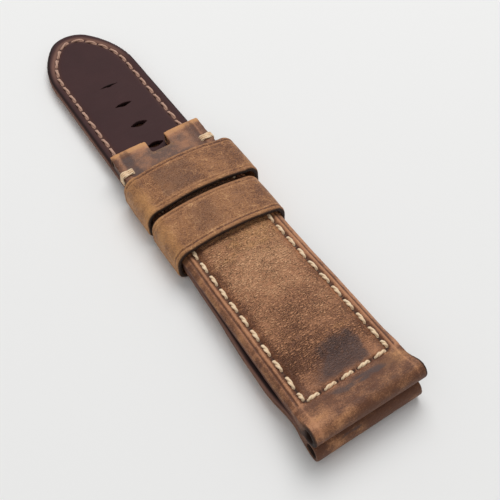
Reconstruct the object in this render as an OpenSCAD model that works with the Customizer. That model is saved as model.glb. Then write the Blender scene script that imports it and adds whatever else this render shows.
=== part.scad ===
// Two-piece padded leather watch strap, laid out as sold: the short piece on top, leather up,
// and the long piece under it, lining up, with both keepers round the pair.

/* [Strap] */
// Width of both pieces at the lug end
lug_w = 24; // [20:0.5:26]
// Width of the short piece at the buckle
buckle_w = 22.5; // [19:0.5:24]
// Width of the tail
tail_w = 22; // [19:0.5:23.5]
// Length of the short piece, nose to buckle end
short_len = 82; // [78:1:95]
// Length of the long piece, nose to tip
long_len = 133.5; // [118:0.5:150]

/* [Layers] */
// Thickness of the lining leather
lining_t = 1; // [0.8:0.1:1.2]
// Thickness of the stay tape that stops the leather stretching
tape_t = 0.3; // [0.2:0.05:0.4]
// Thickness of the short piece at its cross seam
short_lug_t = 3.2; // [3:0.1:3.4]
// Thickness of the short piece at the buckle
short_end_t = 2.3; // [2.1:0.1:2.6]
// Thickness of the long piece at its cross seam
long_lug_t = 3.1; // [2.9:0.1:3.2]
// Thickness of the tail
tail_t = 2.2; // [2:0.05:2.25]
// Thickness of the leather over the padding
cover_t = 1.3; // [1.1:0.05:1.4]
// Swell of the short piece's padding above the seam
short_swell = 1.15; // [0.6:0.05:1.2]
// Swell of the long piece's padding above the seam
long_swell = 0.9; // [0.5:0.05:0.95]

/* [Tunnels] */
// Radius of the bore for the lug bar
lug_bore_r = 1.3; // [1:0.05:1.5]
// Leather round the lug bore
lug_wall = 0.85; // [0.7:0.05:0.9]
// Radius of the bore for the buckle bar
buckle_bore_r = 0.9; // [0.7:0.05:1]
// Leather round the buckle bore
buckle_wall = 0.58; // [0.5:0.02:0.8]
// Extra half width where the leather turns round the lug bore
nose_flare = 0.2; // [0:0.05:0.3]
// Width of the notch for the buckle tongue
notch_w = 4.8; // [4.6:0.1:6]
// Depth of the notch for the buckle tongue
notch_d = 4.4; // [4:0.1:6]

/* [Seams] */
// Distance from the nose to the cross seam
box_y = 7.8; // [7:0.1:9]
// Distance from the short piece's edge to its seam
short_inset = 2.65; // [2.3:0.05:3]
// Distance from the long piece's edge to its seam
long_inset = 2.3; // [2:0.05:2.6]
// Width of the rounded flank outside the seam
flank_w = 1.7; // [1:0.1:2]
// Distance between stitch holes
pitch = 3.82; // [3:0.02:4.5]
// Length of the short stitch in the seam's corner
corner_step = 2.5; // [2:0.1:3.5]
// Radius of the thread
thread_r = 0.42; // [0.3:0.02:0.45]
// Share of the pitch that a stitch covers
stitch_share = 0.74; // [0.6:0.01:0.85]

/* [Tail] */
// Length of the rounded tip
tip_len = 19; // [18:0.5:26]
// Radius of the tip's end
tip_r = 6.75; // [5:0.25:8]
// Distance from the tip's end to its seam
end_inset = 3.3; // [2.3:0.1:4]
// Radius of the seam's end round the tip
seam_tip_r = 4.2; // [3.5:0.1:5]
// Number of tongue slots
slot_count = 7; // [3:1:8]
// Distance between tongue slots
slot_pitch = 8.4; // [6:0.1:8.5]
// Distance from the tip to the last slot
slot_from_tip = 25.5; // [20:0.5:30]
// Length of a slot across the strap
slot_l = 4.6; // [3.5:0.1:5.5]
// Width of a slot along the strap
slot_w = 1.6; // [1.2:0.1:2.2]
// Distance of the slots from the centre line, to the left
slot_off = -0.7; // [-0.8:0.1:0.8]

/* [Keepers] */
// Thickness of the keeper leather
keeper_t = 1.1; // [0.9:0.05:1.15]
// Width of the fixed keeper along the strap
fixed_w = 11.75; // [8:0.25:12]
// Width of the free keeper along the strap
free_w = 11.5; // [8:0.25:12]
// Distance from the buckle end to the fixed keeper
fixed_back = 10.75; // [10.5:0.25:14]
// Slack of the fixed keeper on each side of the strap
fixed_slack = 1; // [0:0.1:1.2]
// How far the fixed keeper hangs to the right
fixed_shift = 0.75; // [0:0.05:0.9]
// Gap between the two keepers
keeper_gap = 1.4; // [0.8:0.1:3]
// Room over the strap inside the keepers
keeper_room = 0.14; // [0.1:0.02:0.4]
// Radius of the arch over the keepers
arch_r = 46; // [40:1:70]
// How far the free keeper slides towards the lugs
free_travel = 10; // [4:0.5:10.5]

/* [Layout] */
// Tilt of both pieces, which lie thick end to thin end
lay_tilt = 0.72; // [0.6:0.02:0.74]
// How far the long piece's nose stands in front of the short one's
nose_lead = 0.8; // [0:0.1:2]
// How far the long piece lies to the left
side_shift = 0.4; // [0:0.05:0.5]
// Gap between the two linings
lay_gap = 0.08; // [0.05:0.01:0.2]

/* [Hidden] */

$fn = 64;
big = 40;
leather_c = [0.55, 0.37, 0.24];
keeper_c = [0.58, 0.39, 0.25];
lining_c = [0.27, 0.19, 0.18];
thread_c = [0.9, 0.8, 0.65];
padding_c = [0.8, 0.75, 0.65];
tape_c = [0.93, 0.92, 0.88];

nose_r = lug_bore_r + lug_wall;
fold_r = buckle_bore_r + buckle_wall;
groove_d = thread_r;
groove_w = 2 * thread_r + 0.06;
// On the side that shows, the stitches stand this far out of the leather.
stitch_proud = 0.12;
edge_rise = 0.7;
// The thread lies this far off its groove's floor.
thread_seat = 0.012;
// Round the tip the groove is this much wider on each side, as straight stitches follow a curve.
tip_ease = 0.1;
tab_corner_r = 0.6;

// The nose runs down to the flat this far before the cross seam.
nose_blend = 1;
lining_start = box_y - 2.2;
pad_start = box_y + 0.8;
// The padding ends this far inside the seam.
pad_margin = 0.9;
// The buckle end's fold starts to rise here, and its turned end butts against the lining here.
fold_start = short_len - 6;
short_lining_end = short_len - 9.5;
tape_end_gap = 3;
tape_margin = 0.35;
tape_start = pad_start + 0.5;

// The long piece narrows to the tail's width over this length, and thins over the next.
narrow_len = 50;
thin_y = 44;

fixed_y1 = short_len - fixed_back;
fixed_y0 = fixed_y1 - fixed_w;
free_y1 = fixed_y0 - keeper_gap;
free_y0 = free_y1 - free_w;
row_start = box_y + corner_step;
short_row_end = row_start + floor((fixed_y1 - 1 - row_start) / pitch) * pitch;
tack_y = fixed_y1 + 3.4;
tack_strand_w = 0.62;
tack_strands = 3;
tack_t = 0.42;
tack_l = 3;

// Heights of the two lining planes over the table, at y = 0.
tilt_s = sin(lay_tilt);
tilt_c = cos(lay_tilt);
long_z = nose_r * (1 + tilt_c + tilt_s);
short_z = long_z - nose_lead * tan(lay_tilt) + lay_gap / tilt_c;

// The frame's origin is under the middle of the whole strap.
front_y = -nose_lead + nose_r * (tilt_c - tilt_s) - nose_r;
back_y = -nose_lead + long_len * tilt_c;
mid_y = (front_y + back_y) / 2;

short_slope = (short_lug_t - short_end_t) / (short_len - box_y);
long_slope = (long_lug_t - tail_t) / (thin_y - box_y);
function short_half(y) = lug_w / 2 - (lug_w - buckle_w) / 2 * y / short_len;
function short_t(y) = short_lug_t - short_slope * (y - box_y);
function long_half(y) = tail_w / 2 + max(0, lug_w - tail_w) / 2 * max(0, 1 - y / narrow_len);
function long_t(y) = tail_t + long_slope * max(0, thin_y - y);

// Each station of the padding is a place along the strap and its share of the swell.
short_stations = [[pad_start, 0], [pad_start + 2, 0.64], [pad_start + 5, 0.92], [pad_start + 9, 1],
                  [32, 0.96], [40, 0.84], [46, 0.72], [fixed_y0 - 1.2, 0.38], [fixed_y0 + 7, 0]];
long_stations = [[pad_start, 0], [pad_start + 2, 0.66], [pad_start + 5, 0.94], [pad_start + 11, 1],
                 [28, 0.68], [36, 0.2], [38.5, 0]];

// The keepers clear the padded part as far as the free one slides.
free_low_y = free_y0 - free_travel;
function share_at(st, y) = lookup(y, st);
short_top_low = short_z - free_low_y * tan(lay_tilt) + short_t(free_low_y)
              + short_swell * share_at(short_stations, free_low_y);
keeper_in_h = short_top_low + keeper_room;
keeper_h = keeper_in_h + keeper_t;
keeper_side_room = 0.18;
free_in_half = max(short_half(free_low_y), long_half(free_low_y) + side_shift) + keeper_side_room;
fixed_in_half = max(short_half(fixed_y0), long_half(fixed_y0) + side_shift) + keeper_side_room + fixed_slack;
mid_x = (fixed_shift + fixed_in_half - max(free_in_half, fixed_in_half - fixed_shift)) / 2;
keeper_top_r = 3.4;
keeper_in_r = 1.8;
keeper_low_r = 2.4;
keeper_in_low_r = 0.8;
seam_w = 0.2;
keeper_thread_r = 0.3;
keeper_thread_l = 3;

// The bullet tip is two flank arcs that meet a small end arc, and the seam's tip is another, inside it.
// Each has its half width, its length and the end arc's radius.
tip_y = long_len - tip_len;
edge_tip = [tail_w / 2, tip_len, tip_r];
seam_tip = [tail_w / 2 - long_inset, tip_len - end_inset, seam_tip_r];
function flank_r(tip) = (pow(tip[0], 2) + pow(tip[1] - tip[2], 2) - pow(tip[2], 2)) / (2 * (tip[0] - tip[2]));
function flank_x(tip) = flank_r(tip) - tip[0];
function tip_turn(tip) = asin((tip[1] - tip[2]) / (flank_r(tip) - tip[2]));

module in_frame() translate([-mid_x, -mid_y, 0]) children();
module hung() in_frame() translate([fixed_shift, 0, 0]) children();
module lay_short() in_frame() translate([0, 0, short_z]) rotate([-lay_tilt, 0, 0]) children();
module lay_long() in_frame() translate([-side_shift, -nose_lead, long_z]) rotate([-lay_tilt, 0, 0])
    rotate([0, 180, 0]) children();

// A profile in the strap's length and height, drawn right across it.
module across() translate([-big / 2, 0, 0]) rotate([90, 0, 90]) linear_extrude(big) children();
module through() translate([0, 0, -big / 2]) linear_extrude(big) children();
module layer(z0, z1) translate([0, 0, z0]) linear_extrude(z1 - z0) children();
module corner(r) difference() { translate([-r, -r]) square(2 * r); translate([-r, -r]) circle(r); }

module bore(r, y, z) translate([-big / 2, y, z]) rotate([0, 90, 0]) cylinder(r = r, h = big);

// Plan outlines, with y along the strap.
module short_plan() difference() {
    polygon([[-short_half(0) - nose_flare, 0], [short_half(0) + nose_flare, 0],
             [short_half(lining_start) + nose_flare, lining_start], [short_half(box_y), box_y],
             [short_half(short_len), short_len], [-short_half(short_len), short_len],
             [-short_half(box_y), box_y], [-short_half(lining_start) - nose_flare, lining_start]]);
    for (s = [-1, 1]) {
        translate([s * short_half(short_len), short_len]) mirror([s < 0 ? 1 : 0, 0]) corner(tab_corner_r);
        translate([s * notch_w / 2, short_len]) mirror([s > 0 ? 1 : 0, 0]) corner(tab_corner_r);
    }
    translate([-notch_w / 2, short_len - notch_d]) square([notch_w, big]);
}

// A tip, inset from its outline: right flank, end and left flank.
tip_steps = 9;
function tip_points(tip, inset) =
    let (turn = tip_turn(tip), flank = flank_r(tip) - inset, off = flank_x(tip), end = tip[2] - inset)
    concat([for (i = [0 : tip_steps - 1]) let (q = turn * i / tip_steps)
               [flank * cos(q) - off, tip_y + flank * sin(q)]],
           [for (i = [0 : 2 * tip_steps]) let (q = turn + (180 - 2 * turn) * i / (2 * tip_steps))
               [end * cos(q), tip_y + tip[1] - tip[2] + end * sin(q)]],
           [for (i = [tip_steps - 1 : -1 : 0]) let (q = turn * i / tip_steps)
               [off - flank * cos(q), tip_y + flank * sin(q)]]);

function long_outline(tip, side, inset, ys, ease = 0) = concat(
    [for (y = ys) [long_half_fn(y) - side - inset, y]], tip_points(tip, inset - ease),
    [for (i = [len(ys) - 1 : -1 : 0]) [side + inset - long_half_fn(ys[i]), ys[i]]]);

module long_plan() polygon(long_outline(edge_tip, 0, 0, [0, lining_start, box_y, narrow_len]));

// Each slot is a lens, pointed at both ends.
slot_r = (slot_l * slot_l + slot_w * slot_w) / (4 * slot_w);
module slots() for (i = [0 : slot_count - 1])
    translate([slot_off, long_len - slot_from_tip - i * slot_pitch]) intersection_for(s = [-1, 1])
        translate([0, s * (slot_r - slot_w / 2)]) circle(slot_r, $fn = 96);

// Side profiles, with the lining's face on the x axis.
module nose_profile(t) {
    translate([nose_r, nose_r]) circle(nose_r);
    polygon([[nose_r, 0], [nose_r, 2 * nose_r], [box_y - nose_blend, t], [box_y - nose_blend, 0]]);
}

module short_profile() {
    nose_profile(short_t(box_y - nose_blend));
    translate([short_len - fold_r, fold_r]) circle(fold_r);
    polygon([[nose_r, 0], [box_y - nose_blend, short_t(box_y - nose_blend)],
             [fold_start, short_t(fold_start)], [short_len - fold_r, 2 * fold_r], [short_len - fold_r, 0]]);
}

module long_profile() {
    nose_profile(long_t(box_y - nose_blend));
    polygon([[nose_r, 0], [box_y - nose_blend, long_t(box_y - nose_blend)], [thin_y, tail_t],
             [long_len, tail_t], [long_len, 0]]);
}

// Everything under the seam groove's floor on the leather side.
module short_under_groove() across()
    polygon([[0, -1], [short_len, -1], [short_len, short_t(short_len) - groove_d + stitch_proud],
             [0, short_t(0) - groove_d + stitch_proud]]);
module long_under_groove() across()
    polygon([[0, -1], [long_len, -1], [long_len, tail_t - groove_d], [thin_y, tail_t - groove_d],
             [0, long_t(0) - groove_d]]);

function short_seam(y, s) = [s * (short_half(y) - short_inset), y];
function long_seam(y, s) = [s * (long_half(y) - long_inset), y];

// The groove beside both edges, and across the strap at the cross seam.
module short_seam_lines() difference() {
    polygon(seam_outline(groove_w / 2));
    polygon(seam_outline(-groove_w / 2));
}
function seam_outline(e) = let (y0 = box_y - e, x0 = short_half(y0) - short_inset + e,
                                x1 = short_half(short_row_end) - short_inset + e)
    [[x0, y0], [x1, short_row_end], [-x1, short_row_end], [-x0, y0]];

module long_seam_lines() difference() {
    polygon(long_outline(seam_tip, long_inset, -groove_w / 2, [box_y - groove_w / 2, narrow_len], tip_ease));
    polygon(long_outline(seam_tip, long_inset, groove_w / 2, [box_y + groove_w / 2, narrow_len], -tip_ease));
}

// A bed whose crown follows the stations: the padding's room, or the swell that it gives the leather.
// Base is its underside, top_fn the height of its crown's foot, side widens it and sink lowers
// the foot below the surface that the crown rises from.
swell_points = 15;

function swell_section(st, swell_h, half_fn, top_fn, base, side, sink) =
    let (y = st[0], a = half_fn(y) + side, top = top_fn(y) - sink,
         h = swell_h * st[1] + max(sink * st[1], 0.02), r = (a * a + h * h) / (2 * h), turn = asin(a / r))
    concat([[a, y, base]],
           [for (i = [0 : swell_points - 3]) let (q = turn * (1 - 2 * i / (swell_points - 3)))
               [r * sin(q), y, top + h - r + r * cos(q)]],
           [[-a, y, base]]);

module swell(stations, swell_h, half_fn, top_fn, base, side, sink)
    loft([for (st = stations) swell_section(st, swell_h, half_fn, top_fn, base, side, sink)], swell_points);

short_pad_half = function (y) short_half(y) - short_inset - pad_margin;
long_pad_half = function (y) long_half(y) - long_inset - pad_margin;
pad_base = lining_t + tape_t;

// The leather's top over the lining, with the run down from the nose.
nose_end = box_y - nose_blend;
function run_down(y, t) = max(0, nose_end - y) / (nose_end - nose_r) * (2 * nose_r - t);
function flare(y) = nose_flare * max(0, min(1, (box_y - y) / (box_y - lining_start)));
short_half_fn = function (y) short_half(y) + flare(y);
long_half_fn = function (y) long_half(y) + flare(y);
short_top_fn = function (y) short_t(max(y, nose_end)) + run_down(y, short_t(nose_end));
long_top_fn = function (y) long_t(max(y, nose_end)) + run_down(y, long_t(nose_end));
flank_start = nose_r + 0.8;
short_flank = [[flank_start, 0], [nose_end, 0.5], [box_y, 0.7], [box_y + 4, 1], [26, 1], [40, 1],
               [54, 1], [short_lining_end - 5, 1],
               [short_lining_end - 1.2, 0]];
long_flank = [[flank_start, 0], [nose_end, 0.5], [box_y, 0.7], [box_y + 4, 1], [28, 1], [thin_y, 1],
              [narrow_len, 1], [tip_y - 4, 1], [tip_y, 0]];

pad_thin = 0.05;
crown_margin = 0.3;
crown_base = pad_base + 0.3;
crown_sink = 0.12;
short_pad_top = function (y) max(short_t(y) - cover_t, pad_base + pad_thin);
long_pad_top = function (y) max(long_t(y) - cover_t, pad_base + pad_thin);

module short_pad_room() swell(short_stations, short_swell, short_pad_half, short_pad_top, pad_base, 0, 0);
module short_crown() swell(short_stations, short_swell, short_pad_half, short_top_fn, crown_base,
                           crown_margin, crown_sink);
module long_pad_room() swell(long_stations, long_swell, long_pad_half, long_pad_top, pad_base, 0, 0);
module long_crown() swell(long_stations, long_swell, long_pad_half, long_top_fn, crown_base,
                          crown_margin, crown_sink);

// Joins sections of n points each, one after another, into one closed solid.
module loft(sections, n) {
    last = (len(sections) - 1) * n;
    polyhedron(points = [for (s = sections) each s], faces = concat(
        [for (k = [1 : n - 2]) [0, k + 1, k]],
        [for (k = [1 : n - 2]) [last, last + k, last + k + 1]],
        [for (j = [0 : len(sections) - 2]) for (k = [0 : n - 1])
            [j * n + k, j * n + (k + 1) % n, (j + 1) * n + k]],
        [for (j = [0 : len(sections) - 2]) for (k = [0 : n - 1])
            [j * n + (k + 1) % n, (j + 1) * n + (k + 1) % n, (j + 1) * n + k]]));
}

// What the rounded flank leaves out beside the right edge. Each station is a place along the strap
// and its share of the flank's fall. The curve runs from just outside the edge to over the top.
flank_steps = 5;
flank_clear = 0.02;
flank_out = 0.1;

function flank_section(st, half_fn, top_fn) =
    let (y = st[0], x = half_fn(y) + flank_out, t = top_fn(y) + flank_clear,
         fall = (t - lining_t - edge_rise) * st[1] + flank_clear / 2, w = flank_w + flank_out)
    concat([for (i = [flank_steps : -1 : 0]) let (k = i / flank_steps)
               [x - w * k, y, t - fall * pow(1 - k, 2)]],
           [[x + 2, y, t - fall], [x + 2, y, t + 3], [x - w, y, t + 3]]);
function left_of(section) = [for (i = [len(section) - 1 : -1 : 0])
    [-section[i].x, section[i].y, section[i].z]];

module flanks(stations, half_fn, top_fn) {
    sections = [for (st = stations) flank_section(st, half_fn, top_fn)];
    loft(sections, flank_steps + 4);
    loft([for (c = sections) left_of(c)], flank_steps + 4);
}

// The stay tape lies under the padding, a little narrower, and on the long piece runs on to the tip.
module short_tape_room() layer(lining_t, pad_base)
    tape_plan(short_pad_half, [tape_start, short_row_end - tape_end_gap]);
module long_tape_room() layer(lining_t, pad_base) tape_plan(long_pad_half, [tape_start, narrow_len, tip_y]);
module tape_plan(half_fn, ys)
    polygon(concat([for (y = ys) [half_fn(y) - tape_margin, y]],
                   [for (i = [len(ys) - 1 : -1 : 0]) [-half_fn(ys[i]) + tape_margin, ys[i]]]));

// A stitch: half a round of thread, flat side down, lying along y.
module stitch(l) rotate([90, 0, 0]) linear_extrude(l, center = true) intersection() {
    circle(thread_r, $fn = 24);
    translate([-2 * thread_r, 0]) square([4 * thread_r, 2 * thread_r]);
}

// A row of stitches on the leather side and on the lining side between two points of the plan.
module stitch_row(p, q, t0, t1, proud = 0) {
    d = q - p;
    n = max(1, round(norm(d) / pitch));
    step = norm(d) / n;
    slope = atan2(t1 - t0, norm(d));
    for (i = [0 : n - 1]) {
        k = (i + 0.5) / n;
        translate([p.x + d.x * k, p.y + d.y * k, 0]) rotate([0, 0, atan2(d.y, d.x) - 90]) {
            translate([0, 0, t0 + (t1 - t0) * k - groove_d + thread_seat + proud]) rotate([slope, 0, 0])
                stitch(step * stitch_share);
            translate([0, 0, groove_d - thread_seat]) rotate([180, 0, 0]) stitch(step * stitch_share);
        }
    }
}

module short_top_leather() lay_short() color(leather_c) difference() {
    union() {
        difference() {
            intersection() {
                across() short_profile();
                through() short_plan();
            }
            flanks(short_flank, short_half_fn, short_top_fn);
            difference() {
                through() short_seam_lines();
                short_under_groove();
            }
        }
        short_crown();
    }
    short_pad_room();
    short_tape_room();
    layer(-1, lining_t) translate([-big / 2, lining_start]) square([big, short_lining_end - lining_start]);
    bore(lug_bore_r, nose_r, nose_r);
    bore(buckle_bore_r, short_len - fold_r, fold_r);
    tack_beds();
}

module short_lining() lay_short() color(lining_c) difference() {
    layer(0, lining_t) intersection() {
        short_plan();
        translate([-big / 2, lining_start]) square([big, short_lining_end - lining_start]);
    }
    layer(-1, groove_d) short_seam_lines();
}

module short_padding() lay_short() color(padding_c) short_pad_room();
module short_stay_tape() lay_short() color(tape_c) short_tape_room();

module short_stitching() lay_short() color(thread_c) {
    stitch_row(short_seam(box_y, -1), short_seam(box_y, 1), short_t(box_y), short_t(box_y), stitch_proud);
    for (s = [-1, 1]) {
        stitch_row(short_seam(box_y, s), short_seam(row_start, s), short_t(box_y), short_t(row_start),
                   stitch_proud);
        stitch_row(short_seam(row_start, s), short_seam(short_row_end, s), short_t(row_start),
                   short_t(short_row_end), stitch_proud);
    }
}

// A bar tack: strands side by side that wrap the strap's edge from the leather to a bed under it.
tack_seat = 0.005;
tack_span = tack_strands * tack_strand_w;

module tack(s) for (i = [0 : tack_strands - 1]) {
    y = tack_y - tack_span / 2 + i * tack_strand_w;
    x = short_half(y) + tack_seat;
    t = short_t(y) + tack_seat;
    translate([0, y + tack_strand_w * 0.95, 0]) mirror([s < 0 ? 1 : 0, 0, 0]) rotate([90, 0, 0])
        linear_extrude(tack_strand_w * 0.9) difference() {
            translate([x - tack_l, 0]) {
                square([tack_l, t + tack_t]);
                translate([tack_l, tack_t]) square([tack_t, t - tack_t]);
                for (z = [tack_t, t]) translate([tack_l, z]) circle(tack_t, $fn = 24);
            }
            translate([x - tack_l - 1, tack_t]) square([tack_l + 1, t - tack_t]);
        }
}

module tack_beds() for (s = [-1, 1])
    translate([s * (short_half(tack_y) - tack_l / 2 + 0.9), tack_y, (tack_t + tack_seat) / 2 - 0.5])
        cube([tack_l + 2, tack_span + 0.1, tack_t + tack_seat + 1], center = true);

module left_bar_tack() lay_short() color(thread_c) tack(-1);
module right_bar_tack() lay_short() color(thread_c) tack(1);

// The keeper's section: a flat foot, straight sides, round shoulders and an arch.
module keeper_shape(half, z0, z1, r_low, r_top, arch) intersection() {
    difference() {
        translate([-half, z0]) square([2 * half, z1 - z0]);
        for (s = [-1, 1]) {
            translate([s * half, z0]) mirror([s < 0 ? 1 : 0, 0]) mirror([0, 1]) corner(r_low);
            translate([s * half, z1 - 1]) mirror([s < 0 ? 1 : 0, 0]) corner(r_top);
        }
        for (s = [-1, 1]) translate([s * half, z1 - 1]) mirror([s < 0 ? 1 : 0, 0]) square([r_top, 2]);
    }
    translate([0, z1 - arch]) circle(arch, $fn = 256);
}

// Two stitches that draw the keeper's ends together under the strap, sunk flush with its foot.
module keeper_thread(y0, w) for (k = [0.3, 0.7])
    translate([-keeper_thread_l / 2, y0 + w * k - keeper_thread_r, 0])
        cube([keeper_thread_l, 2 * keeper_thread_r, keeper_thread_r]);

module keeper(half, y0, w) difference() {
    translate([0, y0 + w, 0]) rotate([90, 0, 0]) linear_extrude(w) difference() {
        keeper_shape(half + keeper_t, 0, keeper_h, keeper_low_r, keeper_top_r, arch_r);
        keeper_shape(half, keeper_t, keeper_in_h, keeper_in_low_r, keeper_in_r, arch_r - keeper_t);
        translate([-seam_w / 2, -1]) square([seam_w, keeper_t + 2]);
    }
    keeper_thread(y0, w);
}

module fixed_keeper() hung() color(keeper_c) keeper(fixed_in_half, fixed_y0, fixed_w);
module fixed_keeper_thread() hung() color(thread_c) keeper_thread(fixed_y0, fixed_w);
module free_keeper() in_frame() color(keeper_c) keeper(free_in_half, free_y0, free_w);
module free_keeper_thread() in_frame() color(thread_c) keeper_thread(free_y0, free_w);

module long_top_leather() lay_long() color(leather_c) difference() {
    union() {
        difference() {
            intersection() {
                across() long_profile();
                through() long_plan();
            }
            flanks(long_flank, long_half_fn, long_top_fn);
            difference() {
                through() long_seam_lines();
                long_under_groove();
            }
        }
        long_crown();
    }
    long_pad_room();
    long_tape_room();
    layer(-1, lining_t) translate([-big / 2, lining_start]) square([big, long_len]);
    bore(lug_bore_r, nose_r, nose_r);
    through() slots();
}

module long_lining() lay_long() color(lining_c) difference() {
    layer(0, lining_t) intersection() {
        long_plan();
        translate([-big / 2, lining_start]) square([big, long_len]);
    }
    layer(-1, groove_d) long_seam_lines();
    through() slots();
}

module long_padding() lay_long() color(padding_c) long_pad_room();
module long_stay_tape() lay_long() color(tape_c) difference() {
    long_tape_room();
    through() slots();
}

// The seam round the tip, followed by its length from the left flank's start.
seam_turn = tip_turn(seam_tip);
seam_flank_r = flank_r(seam_tip);
seam_flank_x = flank_x(seam_tip);
flank_run = seam_flank_r * seam_turn * PI / 180;
end_run = seam_tip_r * (90 - seam_turn) * PI / 180;
tip_run = 2 * (flank_run + end_run);

function left_tip(d) = d < flank_run
    ? let (q = d / seam_flank_r * 180 / PI)
        [seam_flank_x - seam_flank_r * cos(q), tip_y + seam_flank_r * sin(q), q]
    : let (q = seam_turn + (d - flank_run) / seam_tip_r * 180 / PI)
        [-seam_tip_r * cos(q), long_len - end_inset - seam_tip_r + seam_tip_r * sin(q), q];
function tip_place(d) = d <= tip_run / 2 ? left_tip(d)
    : let (m = left_tip(tip_run - d)) [-m.x, m.y, 180 - m.z];

module long_stitching() lay_long() color(thread_c) {
    stitch_row(long_seam(box_y, -1), long_seam(box_y, 1), long_t(box_y), long_t(box_y));
    for (s = [-1, 1]) {
        stitch_row(long_seam(box_y, s), long_seam(row_start, s), long_t(box_y), long_t(row_start));
        stitch_row(long_seam(row_start, s), long_seam(thin_y, s), long_t(row_start), tail_t);
        stitch_row(long_seam(thin_y, s), long_seam(narrow_len, s), tail_t, tail_t);
        stitch_row(long_seam(narrow_len, s), long_seam(tip_y, s), tail_t, tail_t);
    }
    n = round(tip_run / pitch);
    for (i = [0 : n - 1]) {
        m = tip_place(tip_run * (i + 0.5) / n);
        translate([m.x, m.y, 0]) rotate([0, 0, -m.z]) {
            translate([0, 0, tail_t - groove_d + thread_seat]) stitch(pitch * stitch_share);
            translate([0, 0, groove_d - thread_seat]) rotate([180, 0, 0]) stitch(pitch * stitch_share);
        }
    }
}

short_top_leather();
short_lining();
short_padding();
short_stay_tape();
short_stitching();
left_bar_tack();
right_bar_tack();
fixed_keeper();
fixed_keeper_thread();
free_keeper();
free_keeper_thread();
long_top_leather();
long_lining();
long_padding();
long_stay_tape();
long_stitching();
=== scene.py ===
"""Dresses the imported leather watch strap: its leathers, keepers and threads, and the ground it lies on."""

import logging
import math
from dataclasses import dataclass, field
from enum import Enum
from typing import Any, Callable, Mapping, Optional, Sequence, Union

import bmesh
import bpy
import numpy as np
from mathutils import Matrix, Vector


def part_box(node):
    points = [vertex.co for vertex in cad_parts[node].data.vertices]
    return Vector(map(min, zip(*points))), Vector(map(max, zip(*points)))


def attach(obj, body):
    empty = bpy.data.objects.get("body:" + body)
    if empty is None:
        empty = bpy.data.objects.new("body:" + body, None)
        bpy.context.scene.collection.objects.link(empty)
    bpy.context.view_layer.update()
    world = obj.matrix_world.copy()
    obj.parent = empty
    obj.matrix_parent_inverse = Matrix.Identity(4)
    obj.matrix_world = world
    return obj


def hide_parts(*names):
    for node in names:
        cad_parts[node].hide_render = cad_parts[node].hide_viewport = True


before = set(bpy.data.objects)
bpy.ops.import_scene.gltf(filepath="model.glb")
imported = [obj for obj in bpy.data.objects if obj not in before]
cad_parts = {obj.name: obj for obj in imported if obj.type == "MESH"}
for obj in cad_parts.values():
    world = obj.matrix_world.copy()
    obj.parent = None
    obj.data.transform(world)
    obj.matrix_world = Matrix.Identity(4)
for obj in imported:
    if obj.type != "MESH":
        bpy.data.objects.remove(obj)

log = logging.getLogger("strap")

# A millimetre in the frame's metres
MM = 0.001

# Sizes in millimetres: y runs along a piece from its nose, z up from its lining's face
LUG_HALF = 12.0
BUCKLE_HALF = 11.25
TAIL_HALF = 11.0
SHORT_LENGTH = 82.0
LONG_LENGTH = 133.5
NARROWING = 50.0
CROSS_SEAM = 7.8
NOSE_RADIUS = 2.15
FOLD_RADIUS = 1.48
PITCH = 3.82
CORNER_STEP = 2.5
STITCH_SHARE = 0.74
ROW_START = CROSS_SEAM + CORNER_STEP
LUG_BORE = 1.3
BUCKLE_BORE = 0.9
# How far past a bore's wall its painted shade reaches
BORE_SHADE_RIM = 0.12

# Where the frame's origin lies, in the short piece's millimetres
MIDDLE_X = 0.75
MIDDLE_Y = 65.931

Array = np.ndarray
Colour = tuple[float, float, float]


def stretch(node: str) -> tuple[float, float]:
    """Where a keeper starts and ends along the short piece, in that piece's millimetres.

    Args:
        node: The keeper's CAD solid.

    Returns:
        Its start and its end.
    """
    low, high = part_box(node)
    return round(low.y / MM + MIDDLE_Y, 3), round(high.y / MM + MIDDLE_Y, 3)


def shade(red: float, green: float, blue: float) -> Colour:
    """Turns a colour as seen on a screen, 0 to 255, into the renderer's linear values.

    Args:
        red: The red part.
        green: The green part.
        blue: The blue part.

    Returns:
        The three linear values, 0 to 1.
    """
    parts = [c / 255 for c in (red, green, blue)]
    return tuple(c / 12.92 if c <= 0.04045 else ((c + 0.055) / 1.055) ** 2.4 for c in parts)


def ease(value: Array, low: float, high: float) -> Array:
    """Rises smoothly from 0 at low to 1 at high.

    Args:
        value: Where it is read.
        low: The end where it is 0.
        high: The end where it is 1.

    Returns:
        The eased values.
    """
    t = np.clip((value - low) / (high - low), 0, 1)
    return t * t * (3 - 2 * t)


def bell(value: Array, width: float = 1.0) -> Array:
    """A soft bump of height 1 at 0."""
    return np.exp(-(value / width) ** 2)


def through_stations(value: Array, stations: Sequence[tuple[float, float]]) -> Array:
    """Reads a value that eases from each station to the next.

    Args:
        value: Places along the strap.
        stations: Pairs of a place and the value there.

    Returns:
        The value at each place.
    """
    places = np.array([s[0] for s in stations])
    heights = np.array([s[1] for s in stations])
    slopes = np.gradient(heights, places)
    slopes[0] = slopes[-1] = 0
    at = np.clip(value, places[0], places[-1])
    i = np.clip(np.searchsorted(places, at) - 1, 0, len(places) - 2)
    span = places[i + 1] - places[i]
    t = (at - places[i]) / span
    return (heights[i] * (2 * t ** 3 - 3 * t ** 2 + 1) + slopes[i] * span * (t ** 3 - 2 * t ** 2 + t)
            + heights[i + 1] * (3 * t ** 2 - 2 * t ** 3) + slopes[i + 1] * span * (t ** 3 - t ** 2))


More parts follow.
